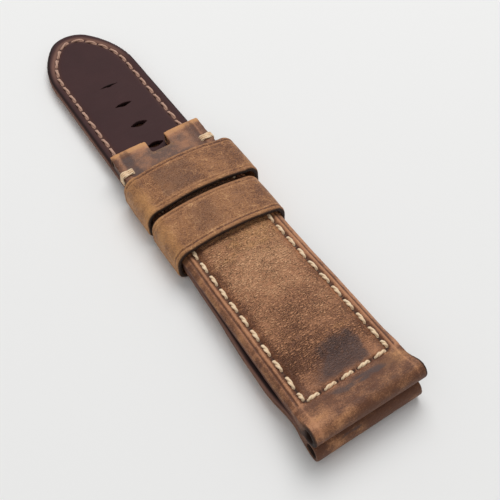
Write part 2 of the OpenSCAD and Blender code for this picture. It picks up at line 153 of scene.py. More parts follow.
@dataclass(frozen=True)
class Unevenness:
    """Smooth chance variation over space, the same on every run."""

    seed: int

    def at(self, places: Array, *periods: float) -> Array:
        """Reads the variation.

        Args:
            places: Points, one a row.
            periods: How far it takes to change along each axis.

        Returns:
            One value from -1 to 1 for each point.
        """
        p = places / np.array(periods) + self.seed * 7.31
        cell = np.floor(p).astype(np.int64)
        t = p - cell
        t = t * t * (3 - 2 * t)
        total = np.zeros(len(p))
        for corner in np.ndindex(2, 2, 2):
            c = cell + np.array(corner)
            # A repeatable number from 0 to 65535 for this corner of each cell
            key = (c[:, 0] * 73856093) ^ (c[:, 1] * 19349663) ^ (c[:, 2] * 83492791) ^ (self.seed * 2654435)
            key = ((key ^ (key >> 13)) * 1274126177) & 0x7FFFFFFF
            key = (key ^ (key >> 16)) & 0xFFFF
            weight = np.prod(np.where(np.array(corner), t, 1 - t), axis=1)
            total += weight * (key / 32767.5 - 1)
        return total

    def layered(self, places: Array, *periods: float) -> Array:
        """Reads the variation with two finer layers added.

        Args:
            places: Points, one a row.
            periods: How far the coarsest layer takes to change along each axis.

        Returns:
            One value from about -1 to 1 for each point.
        """
        total = self.at(places, *periods)
        total += 0.5 * self.at(places, *[p / 2.1 for p in periods])
        total += 0.25 * self.at(places, *[p / 4.3 for p in periods])
        return total / 1.5


@dataclass(frozen=True)
class Spot:
    """A soft oval patch of wear on a piece's plan: its middle, its reach each way and its strength."""

    x: float
    y: float
    wide: float
    long: float
    strength: float

    def on(self, x: Array, y: Array) -> Array:
        """How strong the patch is at each place."""
        return self.strength * bell(np.hypot((x - self.x) / self.wide, (y - self.y) / self.long))


class Turn(Enum):
    """Which way up a piece lies: leather up, or lining up."""

    LEATHER_UP = 1
    LINING_UP = -1


@dataclass(frozen=True)
class Lay:
    """How a piece lies, from its own millimetres to the frame's metres and back, a little out of square.

    The pairs nose, seam and end say how far the left and the right edge are drawn along the strap there.
    Narrowed is the share by which the nose is narrower, and bulge how far the sides swell past it.
    """

    turn: Turn
    shift: float
    lead: float
    height: float
    tilt: float = 0.72
    nose: tuple[float, float] = (0.0, 0.0)
    seam: tuple[float, float] = (0.0, 0.0)
    end: tuple[float, float] = (0.0, 0.0)
    narrowed: float = 0.0
    bulge: float = 0.0

    def by_hand(self, x: Array, y: Array) -> tuple[Array, Array]:
        """Draws a square plan a little out of square, as hand work is.

        Args:
            x: Places across the piece.
            y: Places along it.

        Returns:
            The places as they really lie.
        """
        share = (x / LUG_HALF + 1) / 2
        weights = (1 - ease(y, 1, 8), ease(y, 1, 8) * (1 - ease(y, 9, 18)), ease(y, 60, 75))
        drawn = sum(w * (left + (right - left) * share)
                    for w, (left, right) in zip(weights, (self.nose, self.seam, self.end)))
        fade = 0.75 * (1 - ease(y, 22, 37)) + 0.25 * (1 - ease(y, 38, 46))
        wide = self.bulge * ease(y, 9, 16) * fade * ease(np.abs(x), 9, 11.5)
        return x * (1 - self.narrowed * (1 - ease(y, 4, 14))) + np.sign(x) * wide, y + drawn

    def to_frame(self, points: Array) -> Array:
        """Places points of the piece in the frame.

        Args:
            points: Points in the piece's millimetres, z up from the lining's face.

        Returns:
            The points in the frame's metres.
        """
        c, s = math.cos(math.radians(self.tilt)), math.sin(math.radians(self.tilt))
        x, y = self.by_hand(points[:, 0], points[:, 1])
        x, z = x * self.turn.value, points[:, 2] * self.turn.value
        return MM * np.stack([x - self.shift - MIDDLE_X, y * c + z * s - self.lead - MIDDLE_Y,
                              self.height - y * s + z * c], 1)

    def to_piece(self, points: Array) -> Array:
        """Reads points of the frame in the piece's millimetres.

        Args:
            points: Points in the frame's metres.

        Returns:
            The points in the piece's millimetres.
        """
        c, s = math.cos(math.radians(self.tilt)), math.sin(math.radians(self.tilt))
        x, y, z = (points / MM).T
        x, y, z = x + self.shift + MIDDLE_X, y + self.lead + MIDDLE_Y, z - self.height
        return np.stack([x * self.turn.value, y * c - z * s, (y * s + z * c) * self.turn.value], 1)


SHORT_LAY = Lay(Turn.LEATHER_UP, shift=0.0, lead=0.0, height=4.397, nose=(0.0, 0.45), seam=(-0.5, 0.35),
                end=(-0.35, 0.5))
LONG_LAY = Lay(Turn.LINING_UP, shift=0.4, lead=0.8, height=4.327, nose=(0.6, 0.1), seam=(0.3, 0.0),
               narrowed=0.05, bulge=0.6)


class Wire:
    """An output of a node that takes part in sums."""

    def __init__(self, bench: "Bench", socket: Any) -> None:
        """Keeps the bench that the node stands on, and the output."""
        self.bench = bench
        self.socket = socket

    def maths(self, operation: str, *others: Union["Wire", float], clamp: bool = False) -> "Wire":
        """Adds a Math node.

        Args:
            operation: The node's operation.
            others: The other values, after this one.
            clamp: Whether the result stays from 0 to 1.

        Returns:
            The result.
        """
        values = dict(enumerate((self,) + others))
        return self.bench.add("ShaderNodeMath", {"operation": operation, "use_clamp": clamp}, values)[0]

    def __add__(self, other: Union["Wire", float]) -> "Wire":
        """Sum."""
        return self.maths("ADD", other)

    __radd__ = __add__

    def __mul__(self, other: Union["Wire", float]) -> "Wire":
        """Product."""
        return self.maths("MULTIPLY", other)

    __rmul__ = __mul__

    def __sub__(self, other: Union["Wire", float]) -> "Wire":
        """Difference."""
        return self.maths("SUBTRACT", other)

    def __rsub__(self, other: float) -> "Wire":
        """Difference from a plain number."""
        return (self * -1.0) + other

    def __pow__(self, other: float) -> "Wire":
        """Power."""
        return self.maths("POWER", other)

    def held(self) -> "Wire":
        """The value kept from 0 to 1."""
        return self.maths("ADD", 0.0, clamp=True)

    def size(self) -> "Wire":
        """The value without its sign."""
        return self.maths("ABSOLUTE")

    def eased(self, low: float, high: float) -> "Wire":
        """0 below low, 1 above high and smooth between."""
        values = {0: self, 1: low, 2: high, 3: 0.0, 4: 1.0}
        return self.bench.add("ShaderNodeMapRange", {"interpolation_type": "SMOOTHSTEP"}, values)[0]


class Outputs:
    """A node's outputs by number or name."""

    def __init__(self, bench: "Bench", node: Any) -> None:
        """Keeps the node."""
        self.bench = bench
        self.node = node

    def __getitem__(self, key: Union[int, str]) -> Wire:
        """One output."""
        return Wire(self.bench, self.node.outputs[key])


class Bench:
    """A node tree under construction."""

    def __init__(self, tree: Any) -> None:
        """Keeps the tree."""
        self.tree = tree

    def add(self, kind: str, settings: Optional[Mapping[str, Any]] = None,
            values: Optional[Mapping[Union[int, str], Any]] = None) -> Outputs:
        """Adds a node.

        Args:
            kind: The node's type.
            settings: Its properties.
            values: What goes into its inputs, by number or name: a wire, or a plain value.

        Returns:
            The node's outputs.
        """
        node = self.tree.nodes.new(kind)
        for key, value in (settings or {}).items():
            setattr(node, key, value)
        for key, value in (values or {}).items():
            if isinstance(value, Wire):
                self.tree.links.new(value.socket, node.inputs[key])
            elif isinstance(value, tuple) and len(value) == 3 and node.inputs[key].type == "RGBA":
                node.inputs[key].default_value = (*value, 1.0)
            else:
                node.inputs[key].default_value = value
        return Outputs(self, node)

    def blend(self, share: Union[Wire, float], first: Union[Wire, Colour],
              second: Union[Wire, Colour]) -> Wire:
        """Mixes two colours.

        Args:
            share: How much of the second.
            first: The colour at 0.
            second: The colour at 1.

        Returns:
            The mixed colour.
        """
        return self.add("ShaderNodeMix", {"data_type": "RGBA"}, {0: share, 6: first, 7: second})[2]

    def place(self, stretch: Colour = (1.0, 1.0, 1.0), turn: float = 0.0) -> Wire:
        """The piece's own place in millimetres.

        Args:
            stretch: How much each axis is multiplied.
            turn: Turn about the upright, in degrees.

        Returns:
            The place as a vector.
        """
        at = self.add("ShaderNodeTexCoord")["Object"]
        scale = tuple(1000.0 * s for s in stretch)
        return self.add("ShaderNodeMapping", {}, {"Vector": at, "Scale": scale,
                                                  "Rotation": (0.0, 0.0, math.radians(turn))})[0]

    def clouds(self, where: Wire, scale: float, detail: float = 2.0, rough: float = 0.5,
               bend: float = 0.0) -> Wire:
        """Chance clouds from 0 to 1.

        Args:
            where: The place.
            scale: How many to a unit of place.
            detail: How many finer layers.
            rough: How strong the finer layers are.
            bend: How much the clouds are distorted.

        Returns:
            The clouds.
        """
        return self.add("ShaderNodeTexNoise", {}, {"Vector": where, "Scale": scale, "Detail": detail,
                                                   "Roughness": rough, "Distortion": bend})[0]

    def cells(self, stretch: Colour, turn: float, scale: float) -> Wire:
        """Uneven cells with thin valleys between, such as leather's grain.

        Args:
            stretch: How much each axis is multiplied.
            turn: Turn about the upright, in degrees.
            scale: How many cells to a millimetre.

        Returns:
            The distance from the nearest valley, in cells.
        """
        at = self.place(stretch, turn)
        warp = self.add("ShaderNodeTexNoise", {}, {"Vector": at, "Scale": 0.9, "Detail": 1.0})[1]
        moved = self.add("ShaderNodeVectorMath", {"operation": "MULTIPLY_ADD"},
                         {0: warp, 1: (0.8, 0.8, 0.8), 2: at})[0]
        return self.add("ShaderNodeTexVoronoi", {"feature": "DISTANCE_TO_EDGE"},
                        {"Vector": moved, "Scale": scale})[0]

    def mark(self, name: str) -> Wire:
        """A mark that the piece's points carry, such as paint or wear."""
        return self.add("ShaderNodeAttribute", {"attribute_name": name})["Fac"]

    def relief(self, height: Wire, depth: float, under: Optional[Wire] = None) -> Wire:
        """Turns a height into a bumpy surface.

        Args:
            height: The height, 0 to 1.
            depth: What a height of 1 stands for, in millimetres.
            under: The bumpy surface that it lies on.

        Returns:
            The surface's direction.
        """
        values: dict[str, Any] = {"Height": height, "Strength": 1.0, "Distance": depth * MM}
        if under is not None:
            values["Normal"] = under
        return self.add("ShaderNodeBump", {}, values)["Normal"]


@dataclass(frozen=True)
class Finish:
    """A finish that a piece is given; each kind draws its own pattern."""

    name: str

    def make(self) -> bpy.types.Material:
        """Builds the material, once.

        Returns:
            The material.
        """
        made = bpy.data.materials.get(self.name)
        if made is not None:
            return made
        material = bpy.data.materials.new(self.name)
        material.use_nodes = True
        material.node_tree.nodes.clear()
        bench = Bench(material.node_tree)
        shader = bench.add("ShaderNodeBsdfPrincipled", {}, self.look(bench))
        bench.add("ShaderNodeOutputMaterial", {}, {"Surface": shader["BSDF"]})
        return material

    def look(self, bench: Bench) -> dict[str, Any]:
        """What goes into the shader's sockets."""
        raise NotImplementedError

    def dress(self, piece: bpy.types.Object) -> None:
        """Gives the finish to a piece."""
        piece.data.materials.clear()
        piece.data.materials.append(self.make())


@dataclass(frozen=True)
class WaxedLeather(Finish):
    """Oiled brown leather that pales where it is worn and greys where the wax is thick; its light and dark
    ends also carry painted highlights and painted shade.
    """

    deep: Colour = shade(100, 62, 42)
    ground: Colour = shade(182, 127, 91)
    rubbed_and_lit: Colour = shade(224, 171, 128)
    golden: Colour = shade(206, 150, 94)
    waxy: Colour = shade(80, 63, 60)
    paint: Colour = shade(42, 29, 24)
    crease: float = 1.0
    crackle: float = 0.0
    contrast: float = 1.1
    mottling: float = 1.0

    def look(self, bench: Bench) -> dict[str, Any]:
        """Draws clouds of colour, grain, creases across the strap, worn gold, grey wax and painted edges,
        with painted shade and painted highlights laid in through the tone and the edge colour.

        Args:
            bench: The tree that it is drawn on.

        Returns:
            What goes into the shader's sockets.
        """
        at = bench.place()
        grain = bench.mark("grain")
        clouds = bench.clouds(at, 0.13, 2.0, 0.5)
        mottle = bench.clouds(bench.place((0.8, 1.2, 1.0), 12.0), 0.55, 3.0, 0.55)
        speckle = bench.clouds(at, 3.4, 2.0, 0.6)
        wrinkles = bench.cells((0.8, 2.05, 1.0), 8.0, 1.2).eased(0.0, 0.36)
        pores = bench.cells((1.0, 1.35, 1.0), 25.0, 3.0).eased(0.0, 0.22)
        cracks = 1.0 - bench.cells((0.6, 0.35, 0.5), 20.0, 1.3).eased(0.0, 0.045)
        fine = (speckle - 0.5) * (grain * 0.3 + 0.32)
        uneven = ((mottle - 0.5) * (0.45 * self.mottling) + fine) * self.contrast
        tone = (clouds - 0.5) * 0.55 + uneven + 0.42
        tone = tone + (wrinkles - 0.6) * grain * (0.34 * self.crease)
        tone = tone + (pores - 0.7) * (grain * 0.16 + 0.09)
        tone = tone + cracks * mottle.eased(0.45, 0.58) * self.crackle + bench.mark("tone") * 0.5
        low = bench.blend(tone.eased(0.02, 0.5), self.deep, self.ground)
        colour = bench.blend(tone.eased(0.48, 0.98), low, self.rubbed_and_lit)
        warm = (clouds - 0.45) * 1.6 + (mottle - 0.5) * 0.6
        broken = ((mottle - 0.5) + warm * 0.5) * ((grain * 0.5 + 0.5) * self.mottling)
        gold = ((bench.mark("gold") - 0.3) * 1.3 + broken).held()
        colour = bench.blend(gold * (tone.eased(0.0, 0.6) * 0.6 + 0.3), colour, self.golden)
        waxy = (mottle - 0.5) * (1.6 * self.mottling) + (speckle - 0.5) * 1.1
        waxy = ((bench.mark("wax") - 0.34) * 1.7 + waxy).held()
        colour = bench.blend(waxy * (0.9 - pores * 0.15), colour, self.waxy)
        # The dark edge mark colours the painted edges, and is also painted shade in bores, stitch holes,
        # crevices, slots and the gap between the keepers
        paint = bench.mark("paint").held()
        colour = bench.blend(paint * 0.96, colour, self.paint)
        surface = bench.relief(mottle, 0.10)
        surface = bench.relief(wrinkles * grain, 0.26 * self.crease, surface)
        surface = bench.relief(pores * (grain * 0.7 + 0.3), 0.04, surface)
        rough = 0.47 + speckle * 0.16 - pores * 0.05 + paint * 0.2
        return {"Base Color": colour, "Roughness": rough, "Normal": surface, "Specular IOR Level": 0.3}


@dataclass(frozen=True)
class LiningLeather(Finish):
    """Smooth dark reddish brown leather with paler pressed edges, a painted highlight round the tail's tip
    and painted shade in its crevices and stitch holes.
    """

    ground: Colour = shade(68, 42, 42)
    deep: Colour = shade(57, 35, 36)
    pale: Colour = shade(132, 96, 82)
    paint: Colour = shade(38, 25, 24)

    def look(self, bench: Bench) -> dict[str, Any]:
        """Draws faint clouds, fine pores, pale pressed places with a painted highlight round the tip, and
        painted edges with painted shade in crevices and holes.

        Args:
            bench: The tree that it is drawn on.

        Returns:
            What goes into the shader's sockets.
        """
        at = bench.place()
        clouds = bench.clouds(at, 0.14, 3.0, 0.5, 0.5)
        pores = bench.clouds(at, 4.2, 2.0, 0.6)
        scuffs = bench.clouds(bench.place((0.5, 1.6, 1.0), 30.0), 0.5, 4.0, 0.6, 1.0)
        colour = bench.blend((clouds * 0.9 + pores * 0.25 - 0.1).held(), self.deep, self.ground)
        pale = (bench.mark("gold") * (0.6 + clouds * 0.7)).held()
        colour = bench.blend(pale * 0.9, colour, self.pale)
        # The dark edge mark colours the painted edges, and is also painted shade in the stitch holes and the
        # crevices between the pieces
        colour = bench.blend(bench.mark("paint").held(), colour, self.paint)
        surface = bench.relief(pores, 0.018)
        surface = bench.relief(scuffs, 0.05, surface)
        rough = 0.46 + pores * 0.14 + scuffs * 0.1
        return {"Base Color": colour, "Roughness": rough, "Normal": surface, "Specular IOR Level": 0.12}


@dataclass(frozen=True)
class WaxedThread(Finish):
    """Thick twisted thread."""

    ground: Colour = shade(252, 229, 194)
    soiled: Colour = shade(228, 188, 146)

    def look(self, bench: Bench) -> dict[str, Any]:
        """Draws fibres and a little soiling.

        Args:
            bench: The tree that it is drawn on.

        Returns:
            What goes into the shader's sockets.
        """
        at = bench.place()
        dirt = bench.clouds(at, 0.9, 3.0, 0.6)
        fibres = bench.clouds(bench.place((9.0, 3.0, 9.0), 20.0), 1.0, 2.0, 0.6)
        share = (dirt.eased(0.35, 0.75) * 0.55 + fibres * 0.35).held()
        colour = bench.blend(share, self.ground, self.soiled)
        return {"Base Color": colour, "Roughness": 0.62, "Normal": bench.relief(fibres, 0.03),
                "Specular IOR Level": 0.3, "Sheen Weight": 0.15}


@dataclass(frozen=True)
class PressedFelt(Finish):
    """The padding's felt."""

    ground: Colour = shade(205, 192, 166)

    def look(self, bench: Bench) -> dict[str, Any]:
        """Draws matted fibres.

        Args:
            bench: The tree that it is drawn on.

        Returns:
            What goes into the shader's sockets.
        """
        fibres = bench.clouds(bench.place((1.0, 2.5, 1.0), 25.0), 2.2, 4.0, 0.7, 1.5)
        colour = bench.blend(fibres * 0.5, self.ground, tuple(c * 0.6 for c in self.ground))
        return {"Base Color": colour, "Roughness": 0.95, "Normal": bench.relief(fibres, 0.12)}


@dataclass(frozen=True)
class WovenTape(Finish):
    """Thin white stay tape, woven."""

    ground: Colour = shade(238, 235, 226)

    def look(self, bench: Bench) -> dict[str, Any]:
        """Draws warp and weft.

        Args:
            bench: The tree that it is drawn on.

        Returns:
            What goes into the shader's sockets.
        """
        values = {"Vector": bench.place(), "Scale": 1.6}
        warp, weft = (bench.add("ShaderNodeTexWave", {"bands_direction": way}, values)["Fac"]
                      for way in "XY")
        weave = warp * weft
        colour = bench.blend(weave, tuple(c * 0.75 for c in self.ground), self.ground)
        return {"Base Color": colour, "Roughness": 0.9, "Normal": bench.relief(weave, 0.05)}


@dataclass(frozen=True)
class PaleGround(Finish):
    """The plain pale ground."""

    ground: Colour = shade(241, 241, 240)

    def look(self, bench: Bench) -> dict[str, Any]:
        """Draws one pale colour with the faintest change.

        Args:
            bench: The tree that it is drawn on.

        Returns:
            What goes into the shader's sockets.
        """
        clouds = bench.clouds(bench.place((0.01, 0.01, 0.01)), 1.0, 1.0)
        colour = bench.blend(clouds * 0.15, self.ground, tuple(c * 0.97 for c in self.ground))
        return {"Base Color": colour, "Roughness": 0.9, "Specular IOR Level": 0.1}


TOP_LEATHER = WaxedLeather("oiled_brown")
KEEPER_LEATHER = WaxedLeather("oiled_loop", ground=shade(170, 118, 78), rubbed_and_lit=shade(212, 162, 114),
                              crease=0.8, crackle=0.4, contrast=1.9, mottling=0.4)
LINING = LiningLeather("smooth_lining")
CREAM_THREAD = WaxedThread("cream_twist")
TAIL_THREAD = WaxedThread("tail_twist", shade(204, 164, 142), shade(170, 130, 110))
FELT = PressedFelt("matted_felt")
TAPE = WovenTape("plain_weave")
GROUND = PaleGround("pale_paper")


def as_object(name: str, mesh: bpy.types.Mesh) -> bpy.types.Object:
    """Puts a mesh in the scene as an object at the origin.

    Args:
        name: The object's name.
        mesh: Its mesh.

    Returns:
        The object.
    """
    piece = bpy.data.objects.new(name, mesh)
    bpy.context.scene.collection.objects.link(piece)
    return piece


def from_points(name: str, points: Array, faces: Sequence[Sequence[int]]) -> bpy.types.Object:
    """Makes a smooth object from points in metres.

    Args:
        name: The piece's name.
        points: The points.
        faces: The corners of each face.

    Returns:
        The object.
    """
    mesh = bpy.data.meshes.new(name)
    mesh.from_pydata([tuple(p) for p in points], [], [tuple(f) for f in faces])
    mesh.validate()
    mesh.shade_smooth()
    return as_object(name, mesh)


def baked(piece: bpy.types.Object) -> bpy.types.Object:
    """Turns a piece's modifiers into plain mesh and takes them off.

    Args:
        piece: The piece.

    Returns:
        The same piece.
    """
    bpy.context.view_layer.update()
    seen = piece.evaluated_get(bpy.context.evaluated_depsgraph_get())
    mesh = bpy.data.meshes.new_from_object(seen)
    mesh.name = piece.name
    piece.modifiers.clear()
    piece.data = mesh
    return piece


def grown(piece: bpy.types.Object, tree: bpy.types.NodeTree, wanted: Mapping[str, Any]) -> bpy.types.Object:
    """Runs a node group on a piece and keeps the result as plain mesh.

    Args:
        piece: The piece.
        tree: The node group.
        wanted: The values of the group's inputs, by name.

    Returns:
        The same piece.
    """
    step = piece.modifiers.new(tree.name, "NODES")
    step.node_group = tree
    for item in tree.interface.items_tree:
        if item.item_type == "SOCKET" and item.in_out == "INPUT" and item.name in wanted:
            step[item.identifier] = wanted[item.name]
    return baked(piece)


def read_points(mesh: bpy.types.Mesh, what: str = "co") -> Array:
    """Reads where a mesh's points lie, or which way they face, one a row.

    Args:
        mesh: The mesh.
        what: The property to read: co for the place, normal for the way it faces.

    Returns:
        The vectors.
    """
    flat = np.empty(len(mesh.vertices) * 3)
    mesh.vertices.foreach_get(what, flat)
    return flat.reshape(-1, 3)


def move_points(mesh: bpy.types.Mesh, places: Array) -> None:
    """Moves a mesh's points to new places, in metres."""
    mesh.vertices.foreach_set("co", places.ravel())
    mesh.update()


def set_marks(mesh: bpy.types.Mesh, **marks: Array) -> None:
    """Writes marks on a mesh's points, for its finish to read.

    Args:
        mesh: The mesh.
        marks: For each mark its strength at every point.
    """
    for name, values in marks.items():
        layer = mesh.attributes.new(name, "FLOAT", "POINT")
        layer.data.foreach_set("value", np.clip(values, -1.5, 1.5).astype(np.float32))


def face_outwards(mesh: bpy.types.Mesh) -> None:
    """Turns the faces of a mesh's closed shells outwards.

    Args:
        mesh: The mesh.
    """
    shell = bmesh.new()
    shell.from_mesh(mesh)
    bmesh.ops.recalc_face_normals(shell, faces=shell.faces)
    shell.to_mesh(mesh)
    shell.free()


def softened(node: str, name: str, cell: float, rounds: int) -> bpy.types.Object:
    """Copies a CAD solid as one fine even skin with softened edges.

    Args:
        node: The CAD solid.
        name: The new piece's name.
        cell: The skin's mesh size in millimetres.
        rounds: How many times the skin is smoothed.

    Returns:
        The new piece.
    """
    copy = bmesh.new()
    copy.from_mesh(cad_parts[node].data)
    bmesh.ops.remove_doubles(copy, verts=copy.verts, dist=2e-6)
    mesh = bpy.data.meshes.new(name)
    copy.to_mesh(mesh)
    copy.free()
    piece = as_object(name, mesh)
    skin = piece.modifiers.new("skin", "REMESH")
    skin.mode = "VOXEL"
    skin.voxel_size = cell * MM
    skin.use_smooth_shade = True
    soft = piece.modifiers.new("soft", "SMOOTH")
    soft.factor = 0.5
    soft.iterations = rounds
    baked(piece)
    piece.data.shade_smooth()
    return piece


def evened(line: Array, count: int, to_end: bool) -> tuple[Array, Array]:
    """Sets points along a line in even steps.

    Args:
        line: The line's points, two values a row.
        count: How many points to set.
        to_end: Whether the last of them lies on the line's end.

    Returns:
        How far along the line each point lies, and the points.
    """
    run = np.concatenate([[0], np.cumsum(np.hypot(*np.diff(line, axis=0).T))])
    even = np.linspace(0, run[-1], count, endpoint=to_end)
    return even, np.stack([np.interp(even, run, line[:, i]) for i in (0, 1)], 1)


@dataclass(frozen=True)
class StitchRow:
    """A straight run of stitches between two points of a piece's plan."""

    start: tuple[float, float]
    end: tuple[float, float]
    share: float = STITCH_SHARE

    def stitches(self) -> list[tuple[float, float, float, float]]:
        """Sets out the stitches.

        Returns:
            For each stitch its x, y, direction in radians and length.
        """
        run = np.array(self.end) - np.array(self.start)
        count = max(1, round(float(np.hypot(*run)) / PITCH))
        step = float(np.hypot(*run)) / count
        turn = math.atan2(run[1], run[0])
        places = [np.array(self.start) + run * (i + 0.5) / count for i in range(count)]
        return [(float(p[0]), float(p[1]), turn, step * self.share) for p in places]


@dataclass(frozen=True)
class Seam:
    """All stitches of one seam on one face, and how they press into the leather."""

    stitches: tuple[tuple[float, float, float, float], ...]
    depth: float = 0.22
    hole: float = 0.30
    bed_half: float = 0.62
    mouth_half: float = 0.42
    dark_half: float = 0.36
    reach: float = 4.0

    def pressed(self, x: Array, y: Array) -> tuple[Array, Array]:
        """How far the thread pulls the leather in.

        Args:
            x: Places across the piece.
            y: Places along it.

        Returns:
            The depth in millimetres, and how much of each place is hole, 0 to 1.
        """
        depth = np.zeros(len(x))
        holes = np.zeros(len(x))
        for cx, cy, turn, length in self.stitches:
            near = np.flatnonzero((np.abs(x - cx) < self.reach) & (np.abs(y - cy) < self.reach))
            dx, dy = x[near] - cx, y[near] - cy
            along = dx * math.cos(turn) + dy * math.sin(turn)
            side = -dx * math.sin(turn) + dy * math.cos(turn)
            past = np.abs(along) - length / 2
            bed = bell(side, self.bed_half) * ease(-past, -0.75, 0.5)
            ends = np.hypot(past - 0.12, side)
            mouth = bell(ends, self.mouth_half)
            depth[near] = np.maximum(depth[near], self.depth * bed + self.hole * mouth)
            holes[near] = np.maximum(holes[near], bell(ends, self.dark_half))
        return depth, holes


def stitch_tree() -> bpy.types.NodeTree:
    """Builds the node group that lays one twisted stitch on each point.

    Returns:
        The node group.
    """
    tree = bpy.data.node_groups.new("stitches", "GeometryNodeTree")
    tree.interface.new_socket(name="Points", in_out="INPUT", socket_type="NodeSocketGeometry")
    for name, value in (("Length", 2.8), ("Ply", 0.25), ("Twists", 1.5), ("Rise", 0.3), ("Sway", 5.0)):
        socket = tree.interface.new_socket(name=name, in_out="INPUT", socket_type="NodeSocketFloat")
        socket.default_value = value
    tree.interface.new_socket(name="Thread", in_out="INPUT", socket_type="NodeSocketMaterial")
    tree.interface.new_socket(name="Stitches", in_out="OUTPUT", socket_type="NodeSocketGeometry")
    bench = Bench(tree)
    given = bench.add("NodeGroupInput")
    ply = given["Ply"] * MM
    length = given["Length"] * MM
    line = bench.add("GeometryNodeCurvePrimitiveLine", {},
                     {"Start": (0.0, -0.5, 0.0), "End": (0.0, 0.5, 0.0)})
    line = bench.add("GeometryNodeResampleCurve", {}, {"Curve": line[0], "Count": 11})
    share = bench.add("GeometryNodeSplineParameter")["Factor"]
    out = (share * 2.0 - 1.0).size()
    dip = out ** 4.0
    strands = bench.add("GeometryNodeJoinGeometry")
    for start in (0.0, math.pi):
        angle = share * given["Twists"] * (2 * math.pi) + start
        reach = ply * 0.6 * (1.0 - dip * 0.55)
        side = angle.maths("COSINE") * reach
        rise = angle.maths("SINE") * reach + given["Rise"] * MM * (1.0 - out ** 3.0) - dip * 0.42 * MM
        put = bench.add("ShaderNodeCombineXYZ", {}, {0: side, 1: (share - 0.5) * length, 2: rise})[0]
        laid = bench.add("GeometryNodeSetPosition", {}, {"Geometry": line[0], "Position": put})
        ring = bench.add("GeometryNodeCurvePrimitiveCircle", {}, {"Resolution": 5, "Radius": ply})
        values = {"Curve": laid[0], "Profile Curve": ring[0], "Fill Caps": True, "Scale": 1.0 - dip * 0.5}
        tube = bench.add("GeometryNodeCurveToMesh", {}, values)
        tree.links.new(tube[0].socket, strands.node.inputs[0])
    lay = bench.add("GeometryNodeInputNamedAttribute", {"data_type": "FLOAT_VECTOR"}, {"Name": "lay"})
    size = bench.add("GeometryNodeInputNamedAttribute", {"data_type": "FLOAT_VECTOR"}, {"Name": "size"})
    turn = bench.add("FunctionNodeEulerToRotation", {}, {0: lay[0]})
    points = bench.add("GeometryNodeInstanceOnPoints", {},
                       {"Points": given["Points"], "Instance": strands[0], "Rotation": turn[0],
                        "Scale": size[0]})
    degree = 0.0175
    sway = bench.add("FunctionNodeRandomValue", {"data_type": "FLOAT"},
                     {2: given["Sway"] * -degree, 3: given["Sway"] * degree, "Seed": 11})
    swing = bench.add("ShaderNodeCombineXYZ", {}, {2: sway[1]})
    swing = bench.add("FunctionNodeEulerToRotation", {}, {0: swing[0]})
    points = bench.add("GeometryNodeRotateInstances", {}, {"Instances": points[0], "Rotation": swing[0]})
    real = bench.add("GeometryNodeRealizeInstances", {}, {0: points[0]})
    smooth = bench.add("GeometryNodeSetShadeSmooth", {}, {0: real[0]})
    done = bench.add("GeometryNodeSetMaterial", {}, {"Geometry": smooth[0], "Material": given["Thread"]})
    bench.add("NodeGroupOutput", {}, {0: done[0]})
    return tree


@dataclass
class Stitching:
    """A seam's thread: one twisted stitch on each place."""

    name: str
    lay: Lay
    thread: Finish
    rise: float = 0.16
    ply: float = 0.30
    twists: float = 1.1
    plain_length: float = 2.8
    places: list[tuple[Array, Array, Array, float, float]] = field(default_factory=list)

    def add(self, at: Sequence[float], along: Sequence[float], up: Sequence[float], length: float,
            girth: float = 1.0) -> None:
        """Adds a stitch.

        Args:
            at: Where its middle lies on the surface, in the piece's millimetres.
            along: Its direction.
            up: The surface's direction.
            length: Its length in millimetres.
            girth: How thick it is, next to the seam's other stitches.
        """
        vectors = [np.array(v, float) for v in (at, along, up)]
        self.places.append((*vectors, length, girth))

    def build(self) -> bpy.types.Object:
        """Lays the stitches.

        Returns:
            The thread as one mesh.
        """
        middle = self.lay.to_frame(np.array([p[0] for p in self.places]))
        origin = self.lay.to_frame(np.zeros((1, 3)))
        turns, sizes = [], []
        for _, along, up, length, girth in self.places:
            ahead = Vector((self.lay.to_frame(along[None]) - origin)[0]).normalized()
            above = Vector((self.lay.to_frame(up[None]) - origin)[0]).normalized()
            side = ahead.cross(above).normalized()
            above = side.cross(ahead)
            turns.append(tuple(Matrix((side, ahead, above)).transposed().to_euler("XYZ")))
            sizes.append((girth, length / self.plain_length, girth))
        mesh = bpy.data.meshes.new(self.name)
        mesh.from_pydata([tuple(p) for p in middle], [], [])
        for mark, values in (("lay", turns), ("size", sizes)):
            layer = mesh.attributes.new(mark, "FLOAT_VECTOR", "POINT")
            layer.data.foreach_set("vector", np.array(values, np.float32).ravel())
        tree = bpy.data.node_groups.get("stitches") or stitch_tree()
        return grown(as_object(self.name, mesh), tree,
                     {"Length": self.plain_length, "Ply": self.ply, "Twists": self.twists,
                      "Rise": self.rise, "Thread": self.thread.make()})


def finish_piece(piece: bpy.types.Object, body: str, node: str) -> None:
    """Ties a piece to its body and the CAD solid that it stands for.

    Args:
        piece: The finished piece.
        body: The CAD body that carries it.
        node: The CAD solid.
    """
    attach(piece, body)
    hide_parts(node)
    log.info("%s rides on %s, %d faces", piece.name, body, len(piece.data.polygons))


def skinned(node: str, name: str, body: str, finish: Finish, cell: float, rounds: int,
            shape: Optional[Callable[[bpy.types.Object], None]] = None) -> bpy.types.Object:
    """Makes a dressed piece from the softened copy of a CAD solid.

    Args:
        node: The CAD solid.
        name: The piece's name.
        body: The CAD body that carries it.
        finish: Its finish.
        cell: The skin's mesh size in millimetres.
        rounds: How many times the skin is smoothed.
        shape: What shapes and marks it first, if anything does.

    Returns:
        The piece.
    """
    piece = softened(node, name, cell, rounds)
    if shape is not None:
        shape(piece)
    finish.dress(piece)
    finish_piece(piece, body, node)
    return piece


def bore_shade(across: Array, up: Array, bore: float) -> Array:
    """Paints a bore dark out to a thin ring round its mouth, as painted shade inside it, for places measured
    from the bore's middle.
    """
    return 0.9 * (np.hypot(across, up) < bore + BORE_SHADE_RIM)


